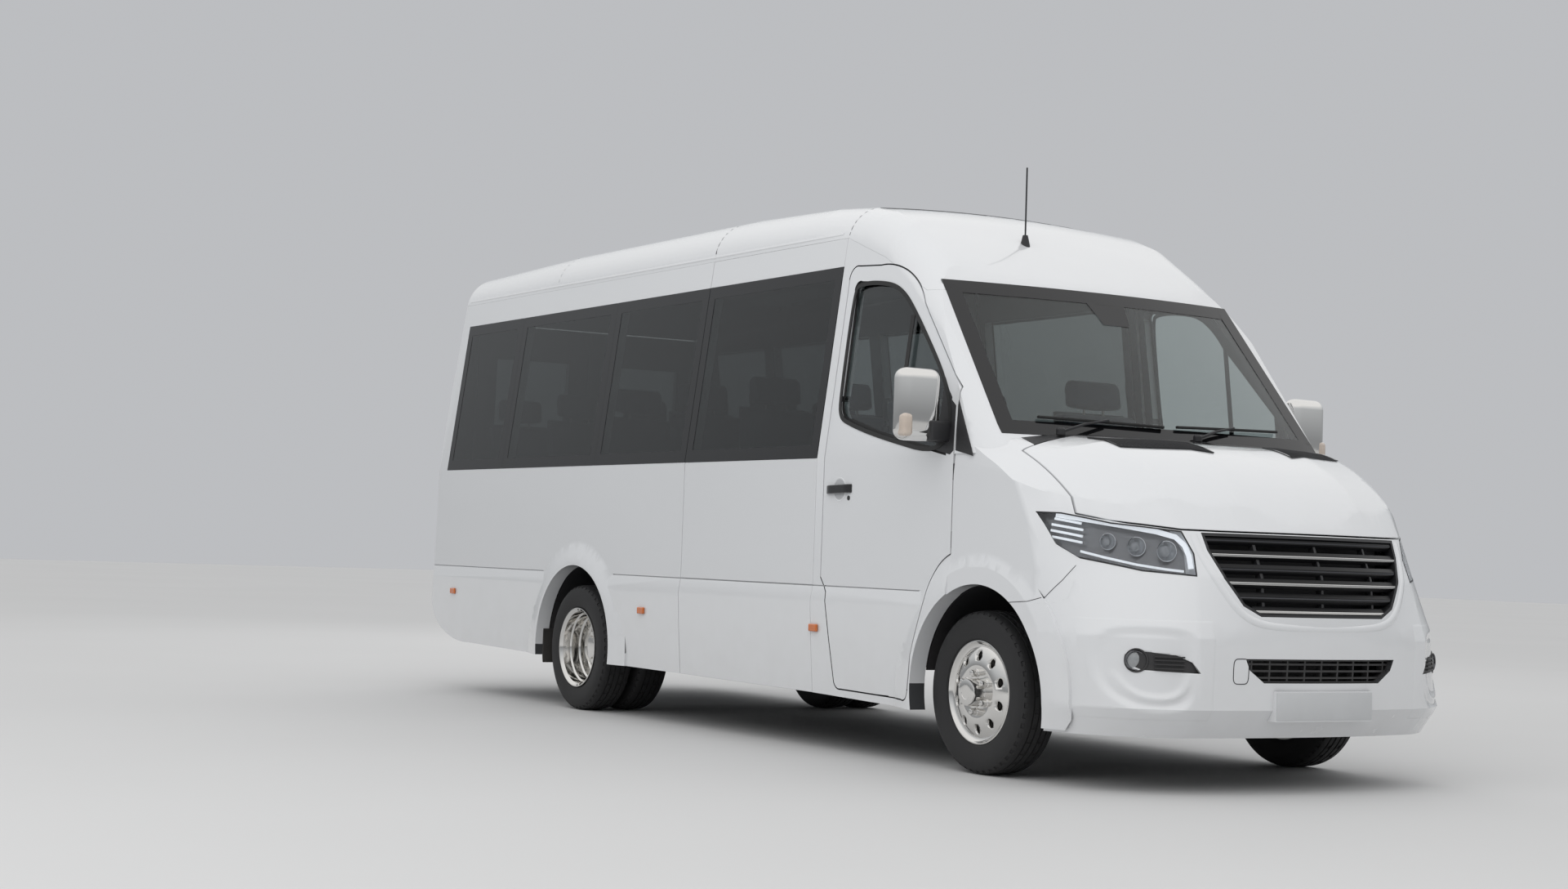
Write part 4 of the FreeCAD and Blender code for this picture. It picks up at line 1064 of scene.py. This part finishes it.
def makeWipers():
    blades, arms = [], []
    for blade in wiperForm["blades"]:
        path = [onScreen(y, z, wiperForm["bladeLift"]) for y, z in between(blade[:2], blade[2:], 16)]
        blades.append(sweep(path, box(*wiperForm["bladeBar"])))
    x, lift = wiperForm["pivot"]
    for y0, z0, y1, z1 in wiperForm["arms"]:
        start, end = at(x, y0, z0 + lift), onScreen(y1, z1, wiperForm["armLift"])
        path = [start, start.lerp(end, 0.5) + wiperForm["arch"], end]
        arms.append(sweep(path, box(*wiperForm["armBar"])))
        arms.append(lathe(wiperForm["cap"], start, 24, (0, 0, 1), (1, 0, 0)))
    addPiece("wiper_blades", joined(*blades), "rubber", "windscreen", bevel=0.003)
    addPiece("wiper_arms", joined(*arms), "plastic_black", "scuttle", bevel=0.002)


makeWipers()
field = bmesh.new()
field.faces.new([field.verts.new(onScreen(y, z, sensorForm["lift"])) for y, z in sensorForm["field"]])
addPiece("windscreen.sensor", thickened(field, borderForm["thick"]), "plastic_gloss", "windscreen",
         finish="frit_black")

# handles: a bar whose two ends run down to the skin
gripForm = {"door": {"reach": 0.013, "bar": (0.008, 0.040), "count": 12},
            "slide": {"reach": 0.012, "bar": (0.008, 0.030), "count": 8},
            "rear": {"reach": 0.012, "bar": (0.028, 0.008), "count": 8}, "steep": 2.2}


def gripOn(tree, start, end, inward, form):
    path = []
    for k, spot in enumerate(between(start, end, form["count"])):
        rise = form["reach"] * min(1, math.sin(math.pi * k / form["count"]) * gripForm["steep"])
        path.append(cast(tree, spot, inward) - Vector(inward) * rise)
    return sweep(path, box(*form["bar"]))


# cab door fittings; the door's side leans in with height
doorForm = {
    "side": (0.998, 0.1297, 1.352),  # y at the foot, slope and height of the foot
    "bar": (-0.600, (1.985, 1.428), 0.0035, (0.004, 0.028)),  # x, heights, lift and profile
    "handle": (-1.150, 1.203, -0.940, 1.209), "recess": (-1.045, 1.205), "lock": (-0.965, 1.165),
    "cup": [(0.056, -0.002), (0.056, 0.0006), (0.054, 0.0016), (0.051, 0.0010), (0.047, 0.0003),
            (0.047, -0.002)],
    "dish": [(0.048, -0.001), (0.048, 0.0006), (0.0384, 0.0012), (0.0, 0.0016), (0.0, -0.001)],
    "barrel": [(0.011, -0.001), (0.011, 0.002), (0.0088, 0.003), (0.0, 0.003), (0.0, -0.001)],
    "foot": ((-0.290, 1.372), (-0.176, 1.349), (-0.152, 1.366), (-0.177, 1.562), (-0.214, 1.588),
             (-0.286, 1.690)),
    "footPlate": (0.002, 0.006), "cornerPlate": (0.003, 0.005), "plateEdge": 0.002,
    "corner": ((-0.136, 1.366), (-0.004, 1.340), (-0.020, 1.372), (-0.160, 1.586), (-0.161, 1.562)),
    "window": ((-1.122, 2.135), (-1.117, 1.640), (-1.098, 1.542), (-1.010, 1.507), (-0.760, 1.444),
               (-0.200, 1.340), (-0.208, 1.600), (-0.555, 1.970), (-0.735, 2.126), (-0.930, 2.162),
               (-1.080, 2.163)),
    "seal": (0.020, 0.004), "sealLift": 0.0015, "sealUp": (0, 1, 0.13),
}
jointForm = {"x": (-4.800, -3.575), "z": (1.356, 2.258), "profile": (0.003, 0.010)}


def onSide(x, z, lift=0.0):
    side, slope, foot = doorForm["side"]
    return at(x, side - slope * (z - foot) + lift, z)


def uprightBar(x, heights, lift, profile):
    return sweep([onSide(x, z, lift) for z in heights], box(*profile), up=(1, 0, 0))


def flatPlate(side, spots, lift, thickness):
    bm = bmesh.new()
    bm.faces.new([bm.verts.new(onSide(x, z, lift)) for x, z in spots])
    return flipped(thickened(bm, thickness), side)


def makeDoorFittings(side, name):
    door, inward = "cab_door_" + name, (0, -side, 0)
    tree = surfaceOf(door)

    def above(x, z):
        return at(x, side * busForm["beside"], z)

    def addRound(label, spot, profile, slot, steps=48, finish=None):
        turned = lathe(profile, cast(tree, above(*spot), inward), steps, (0, side, 0))
        addPiece(label + name, turned, slot, door, finish=finish)

    bar = uprightBar(*doorForm["bar"])
    addPiece("window_bar_" + name, flipped(bar, side), "rubber", "door_glass_" + name)
    window = cornersCut(doorForm["window"], 3)
    path = [onSide(x, z, doorForm["sealLift"]) for x, z in window + window[:1]]
    seal = sweep(path, box(*doorForm["seal"]), ups=[doorForm["sealUp"]] * len(path))
    addPiece("window_seal_" + name, flipped(seal, side), "rubber", door)
    addRound("handle_cup_", doorForm["recess"], doorForm["cup"], "paint_white")
    # the disc in the handle cup is painted darker: painted shade of the recess
    addRound("handle_shade_disc_", doorForm["recess"], doorForm["dish"], "paint_white", finish="painted_recess_shade")
    start, end = doorForm["handle"][:2], doorForm["handle"][2:]
    grip = gripOn(tree, above(*start), above(*end), inward, gripForm["door"])
    addPiece("handle_" + name, grip, "plastic_gloss", door, bevel=0.0035, segments=3)
    addRound("lock_", doorForm["lock"], doorForm["barrel"], "plastic_black", 24)
    for part, node in (("foot", "mirror_" + name), ("corner", "cab_frame")):
        plate = flatPlate(side, doorForm[part], *doorForm[part + "Plate"])
        addPiece("mirror_%s_%s" % (part, name), plate, "plastic_black", node, bevel=doorForm["plateEdge"])


def makeGlassJoint(side, name):
    # black sealant between the side panes
    strips = [uprightBar(x, jointForm["z"], 0, jointForm["profile"]) for x in jointForm["x"]]
    addPiece("glass_joint_" + name, flipped(joined(*strips), side), "rubber", "side_glass",
             finish="frit_black")


eachSide(makeDoorFittings)
eachSide(makeGlassJoint)

# roof: the long crease over the windows and the joints between its panels
roofForm = {"crease": (-5.66, -1.30, 2.425), "low": 24, "middle": 1.95,
            "bead": [(-0.010, -0.002), (-0.004, 0.0022), (0.004, 0.0022), (0.010, -0.002)],
            # joint lines: painted shade of the gaps between roof panels, grey for the faint rear one
            "joints": ((-1.245, "gap_shade_dark"), (-2.530, "gap_shade_dark"), (-4.400, "joint_shade_grey")),
            "joint": (0.0045, 0.0016), "creaseSteps": 48, "creaseUp": 0.35, "jointSteps": 60}
roofTree = surfaceOf("roof")


def makeRoofCrease(side, name):
    x0, x1, z = roofForm["crease"]
    spots = [cast(roofTree, at(x, side * busForm["beside"], z), (0, -side, 0))
             for x, z in between((x0, z), (x1, z), roofForm["creaseSteps"])]
    bead = sweep([spot for spot in spots if spot], roofForm["bead"], up=(0, side, roofForm["creaseUp"]))
    addPiece("roof_crease_" + name, bead, "paint_white", "roof")


def makeRoofJoint(number, x, finish):
    low, middle, steps = roofForm["low"], at(x, 0, roofForm["middle"]), roofForm["jointSteps"]
    path = []
    for k in range(steps + 1):
        angle = math.radians(low + (180 - 2 * low) * k / steps)
        aim = Vector((0, math.cos(angle), math.sin(angle)))
        path.append(cast(roofTree, middle + aim * 2, -aim))
    path = [spot for spot in path if spot]
    ups = [spot - Vector((spot.x, 0, roofForm["middle"])) for spot in path]
    addPiece("roof_joint_%d" % number, sweep(path, box(*roofForm["joint"]), ups=ups), "paint_white",
             "roof", finish=finish)


eachSide(makeRoofCrease)
for number, (x, finish) in enumerate(roofForm["joints"], 1):
    makeRoofJoint(number, x, finish)

# handles of the sliding door and the rear doors
slideForm = {"from": (-1.42, 1.19), "to": (-1.30, 1.19)}
leafForm = {"from": (-7, -0.215, 1.10), "to": (-7, -0.045, 1.10)}
start, end = (at(x, busForm["beside"], z) for x, z in (slideForm["from"], slideForm["to"]))
grip = gripOn(surfaceOf("sliding_door"), start, end, (0, -1, 0), gripForm["slide"])
addPiece("sliding_handle", grip, "plastic_black", "sliding_door", bevel=0.003, segments=3)
leafTree = surfaceOf("rear_door_left", "rear_door_right")
grip = gripOn(leafTree, at(*leafForm["from"]), at(*leafForm["to"]), (1, 0, 0), gripForm["rear"])
addPiece("rear_handle", grip, "plastic_black", "rear_door_right", bevel=0.003, segments=3)
print("body fittings made")

# tail lamps: coloured parts, one above the other
tailForm = {"parts": ((0.770, 0.905, "lamp_red", "low"), (0.909, 0.985, "lamp_clear", "reverse"),
                      (0.989, 1.095, "lamp_amber", "turn"), (1.099, 1.350, "lamp_red", "stop"))}


def sliceOf(node, z0, z1):
    bm = mergedCopy(node)
    for z, up in ((z0, -1), (z1, 1)):
        parts = bm.verts[:] + bm.edges[:] + bm.faces[:]
        bmesh.ops.bisect_plane(bm, geom=parts, plane_co=(0, 0, z), plane_no=(0, 0, up), clear_outer=True)
        fillHoles(bm)
    return closeUp(bm, 28)


for z0, z1, slot, name in tailForm["parts"]:
    addPiece("tail_lamps." + name, sliceOf("tail_lamps", z0, z1), slot, "tail_lamps",
             finish="fog_glass" if name == "reverse" else None, bevel=0.002)
dressNode("side_markers", 0.006)

# dashboard, instruments and steering wheel
dressNode("dashboard", 0.012)
dashForm = {
    "screens": (((0.012, 0.230, 0.130), (-0.236, 0.0, 1.290)),
                ((0.014, 0.300, 0.105), (-0.228, -0.490, 1.312))),
    "vents": (-0.80, -0.20, 0.20, 0.80), "ventAt": (-0.240, 1.285), "gauges": (-0.565, -0.415),
    "gaugeAt": (-0.236, 1.312), "screenRound": 0.005, "ventAim": (-1, 0, 0.3), "gaugeAim": (-1, 0, 0),
    "steps": 36,
    "vent": [(0.045, -0.02), (0.045, 0.004), (0.040, 0.007), (0.036, 0.004), (0.030, -0.006),
             (0.0, -0.004), (0.0, -0.02)],
    "gauge": [(0.040, -0.010), (0.040, 0.002), (0.036, 0.003), (0.035, 0.0), (0.0, 0.0), (0.0, -0.010)],
}
wheelForm = {
    "centre": (-0.345, -0.490, 1.262), "axis": (-0.195, 0, 0.132), "radius": 0.195, "grip": 0.0128,
    "pad": [(0.069, -0.010), (0.0695, 0.006), (0.064, 0.020), (0.050, 0.026), (0.0, 0.0275), (0.0, -0.012)],
    "shaft": [(0.0215, 0.0), (0.0215, -0.235), (0.0, -0.235), (0.0, 0.0)],
    "spoke": (0.008, 0.034), "spokeFrom": 0.05, "spokeLong": 0.14, "spokeSag": 0.006, "spokeSteps": 6,
    "spokeTurn": 1.5,
}


def makeInstruments():
    def turnedRow(part):
        x, z = dashForm[part + "At"]
        return joined(*[lathe(dashForm[part], at(x, y, z), dashForm["steps"], dashForm[part + "Aim"])
                        for y in dashForm[part + "s"]])

    screens = [roundedBox(size, at(*spot), dashForm["screenRound"], 2) for size, spot in dashForm["screens"]]
    addPiece("dash_screens", joined(*screens), "plastic_gloss", "dashboard")
    addPiece("dash_vents", turnedRow("vent"), "plastic_black", "dashboard")
    addPiece("dash_dials", turnedRow("gauge"), "lamp_body", "dashboard", finish="smoked_chrome")


def makeSteeringWheel():
    centre, axis, across = at(*wheelForm["centre"]), Vector(wheelForm["axis"]).normalized(), Vector((0, 1, 0))

    def turned(profile, steps):
        return lathe(profile, centre, steps, axis, across)

    def addWheelPart(part, bm, **looks):
        addPiece("wheel_" + part, bm, "plastic_black", "steering_wheel", **looks)

    addWheelPart("rim", turned([(wheelForm["radius"] + x, z) for x, z in roundBar(wheelForm["grip"])], 72))
    addWheelPart("pad", joined(turned(wheelForm["pad"], 40), turned(wheelForm["shaft"], 24)))
    low = axis.cross(across).normalized()
    low *= -math.copysign(1, low.z)
    spokes, steps, bend = [], wheelForm["spokeSteps"], wheelForm["spokeTurn"]
    for aim in (across, -across, low):
        path = [centre + aim * (wheelForm["spokeFrom"] + wheelForm["spokeLong"] * k / steps)
                + axis * wheelForm["spokeSag"] * math.cos(k / steps * bend) for k in range(steps + 1)]
        spokes.append(sweep(path, box(*wheelForm["spoke"]), up=aim.cross(axis)))
    addWheelPart("spokes", joined(*spokes), finish="smoked_chrome", bevel=0.003)


makeInstruments()
makeSteeringWheel()
print("cab fittings made")

# seats: padded masters, swelled by a cloth simulation, then placed
threeSeats = (-0.655, -0.218, 0.655)
seatForm = {
    "cushion": ((0.432, 0.366), (0.440, 0.404), (0.420, 0.440), (0.380, 0.448), (0.070, 0.428),
                (0.000, 0.424), (-0.012, 0.372), (0.040, 0.362)),
    "back": ((0.030, 0.462), (-0.030, 0.765), (-0.050, 0.925), (-0.060, 0.938), (-0.140, 0.938),
             (-0.152, 0.925), (-0.128, 0.790), (-0.062, 0.452), (-0.030, 0.442)),
    "head": ((-0.062, 0.962), (-0.076, 1.056), (-0.096, 1.092), (-0.130, 1.102), (-0.158, 1.088),
             (-0.166, 1.048), (-0.152, 0.962)),
    "widths": {"cushion": 0.410, "back": 0.410, "head": 0.270},
    "fill": {"cushion": 0.7, "back": 0.8, "head": 0.8},
    "edge": 0.018, "voxel": 0.012, "pressure": 4.0, "cap": 0.010, "frames": 20, "floor": 0.700,
    "shell": ((-0.045, 1.150), (-0.110, 1.480), (-0.145, 1.640)), "shellIn": 0.011, "shellThick": 0.016,
    "post": ((-0.105, 1.620), (-0.115, 1.700)), "postY": 0.06, "postR": 0.006,
    "cab": ((-0.960, -0.490), (-0.960, 0.490)), "cabScale": 1.12,
    "rows": ((-2.100, threeSeats), (-2.850, threeSeats), (-3.600, threeSeats), (-4.350, threeSeats),
             (-5.180, (-0.655, -0.218, 0.218, 0.655))),
}


def padCage(name):
    bm = bmesh.new()
    width = seatForm["widths"][name]
    face = bm.faces.new([bm.verts.new((x, -width / 2, z)) for x, z in seatForm[name]])
    pullFaces(bm, [face], (0, width, 0))
    bmesh.ops.recalc_face_normals(bm, faces=bm.faces[:])
    bevelAll(bm, seatForm["edge"], 3)
    return bm


def swelled(name):
    # cloth under pressure; the far points are held to a cap
    pad = newPiece("pad." + name, padCage(name))
    remesh = pad.modifiers.new("voxels", "REMESH")
    remesh.mode = "VOXEL"
    remesh.voxel_size = seatForm["voxel"]
    pad.data = evaluated(pad)
    pad.modifiers.clear()
    rest = [v.co.copy() for v in pad.data.vertices]
    cloth = pad.modifiers.new("swell", "CLOTH")
    cloth.settings.use_pressure = True
    cloth.settings.uniform_pressure_force = seatForm["pressure"]
    cloth.settings.effector_weights.gravity = 0
    for step in range(1, seatForm["frames"] + 1):
        bpy.context.scene.frame_set(step)
    pad.data = evaluated(pad)
    pad.modifiers.clear()
    bpy.context.scene.frame_set(1)
    for v, before in zip(pad.data.vertices, rest):
        move = v.co - before
        if move.length > seatForm["cap"]:
            v.co = before + move.normalized() * seatForm["cap"]
    mesh = pad.data
    bpy.data.objects.remove(pad)
    return mesh


seatPads = {name: swelled(name) for name in seatForm["widths"]}
print("seat pads swelled")


def placeSeat(label, x, y, scale, node):
    for name, pad in seatPads.items():
        bm = bmesh.new()
        bm.from_mesh(pad)
        bmesh.ops.scale(bm, vec=(1, scale, 1), verts=bm.verts[:])
        bmesh.ops.translate(bm, vec=at(x, y, seatForm["floor"]), verts=bm.verts[:])
        for face in bm.faces:
            face.smooth = True
        piece = addPiece("%s_%s" % (label, name), bm, "fabric", node)
    shell = sweep([at(x + back, y, z) for back, z in seatForm["shell"]],
                  box(seatForm["widths"]["back"] * scale - 2 * seatForm["shellIn"], seatForm["shellThick"]),
                  up=(1, 0, 0.2))
    addPiece(label + "_shell", shell, "plastic_grey", node, bevel=0.005)
    posts = [sweep([at(x + back, y + side * seatForm["postY"], z) for back, z in seatForm["post"]],
                   roundBar(seatForm["postR"]), up=(1, 0, 0)) for side in (-1, 1)]
    addPiece(label + "_posts", joined(*posts), "steel", node)


for number, (x, y) in enumerate(seatForm["cab"], 1):
    placeSeat("cab_seat_%d" % number, x, y, seatForm["cabScale"], "cab_seats")
places = [(x, y) for x, row in seatForm["rows"] for y in row]
for number, (x, y) in enumerate(places, 1):
    placeSeat("cabin_seat_%02d" % number, x, y, 1.0, "cabin_seats")
print("seats placed:", len(places) + len(seatForm["cab"]))

# stage: a pale floor, an even sky and two soft lamps
stageForm = {
    "floor": {"size": 60, "color": (0.62, 0.62, 0.62), "patches": (0.58, 0.58, 0.58)},
    "sky": ((0.02, (0.30, 0.31, 0.32, 1)), (0.22, (0.62, 0.64, 0.66, 1)), (0.55, (1.0, 1.0, 1.0, 1))),
    "seenSky": (0.56, 0.57, 0.59, 1), "skyStrength": 0.9,
    "lamps": (("keyPanel", 11.0, 380.0, (6.0, -7.0, 8.5), (0.5, 0, 1.0)),
              ("rearPanel", 6.0, 140.0, (-9.0, 5.0, 7.0), (-1.0, 0, 1.0))),
}
# camera: solved from the photograph, as place, axes and focal length
viewForm = {"place": at(8.0908, -6.8298, 0.9046), "lens": 54.096, "sensor": 36,
            "right": Vector((0.5185138, 0.85445544, 0.03239366)),
            "down": Vector((-0.02250615, 0.05150906, -0.9984189)),
            "ahead": Vector((-0.85477302, 0.51696492, 0.04593865))}


def makeFloor():
    bm = bmesh.new()
    bmesh.ops.create_grid(bm, x_segments=4, y_segments=4, size=stageForm["floor"]["size"])
    floor = newPiece("paleFloor", bm)
    pale = Finish("paleFloor", stageForm["floor"]["color"], 0.7)
    floor.data.materials.append(pale.patchy(40.0, 0.3, stageForm["floor"]["patches"]).material)


def makeSky():
    world = bpy.context.scene.world or bpy.data.worlds.new("softSky")
    bpy.context.scene.world = world
    world.use_nodes = True
    tree = world.node_tree
    link = tree.links.new
    sky = tree.nodes["Background"]
    place = addNode(tree, "ShaderNodeTexCoord")
    split = addNode(tree, "ShaderNodeSeparateXYZ")
    ramp = addNode(tree, "ShaderNodeValToRGB")
    link(place.outputs["Generated"], split.inputs[0])
    link(split.outputs["Z"], ramp.inputs["Fac"])
    stops = ramp.color_ramp.elements
    low, shoulder, high = stageForm["sky"]
    stops[0].position, stops[0].color = low
    stops[1].position, stops[1].color = high
    stops.new(shoulder[0]).color = shoulder[1]
    # seen directly or through glass the sky is an even pale grey
    rays = addNode(tree, "ShaderNodeLightPath").outputs
    direct = calculate(tree, "MAXIMUM", rays["Is Camera Ray"], rays["Is Transmission Ray"])
    shown = addNode(tree, "ShaderNodeMix", {"data_type": "RGBA"}, B=stageForm["seenSky"])
    link(direct, shown.inputs["Factor"])
    link(ramp.outputs["Color"], shown.inputs["A"])
    link(shown.outputs["Result"], sky.inputs["Color"])
    sky.inputs["Strength"].default_value = stageForm["skyStrength"]


def addToScene(name, data):
    holder = bpy.data.objects.new(name, data)
    bpy.context.scene.collection.objects.link(holder)
    return holder


def makeLamps():
    for name, size, power, place, aim in stageForm["lamps"]:
        lamp = bpy.data.lights.new(name, "AREA")
        lamp.size = size
        lamp.energy = power
        holder = addToScene(name, lamp)
        holder.location = place
        holder.visible_glossy = False
        holder.rotation_euler = (Vector(aim) - Vector(place)).to_track_quat("-Z", "Y").to_euler()


def makeCamera():
    data = bpy.data.cameras.new("photoView")
    data.lens = viewForm["lens"]
    data.sensor_width = viewForm["sensor"]
    camera = addToScene("photoView", data)
    axes = (viewForm["right"], -viewForm["down"], -viewForm["ahead"])
    turn = Matrix([[axis[row] for axis in axes] for row in range(3)])
    camera.matrix_world = Matrix.Translation(viewForm["place"]) @ turn.to_4x4()
    bpy.context.scene.camera = camera


makeFloor()
makeSky()
makeLamps()
makeCamera()
bpy.context.scene.view_settings.view_transform = "Standard"
print("stage and camera set")
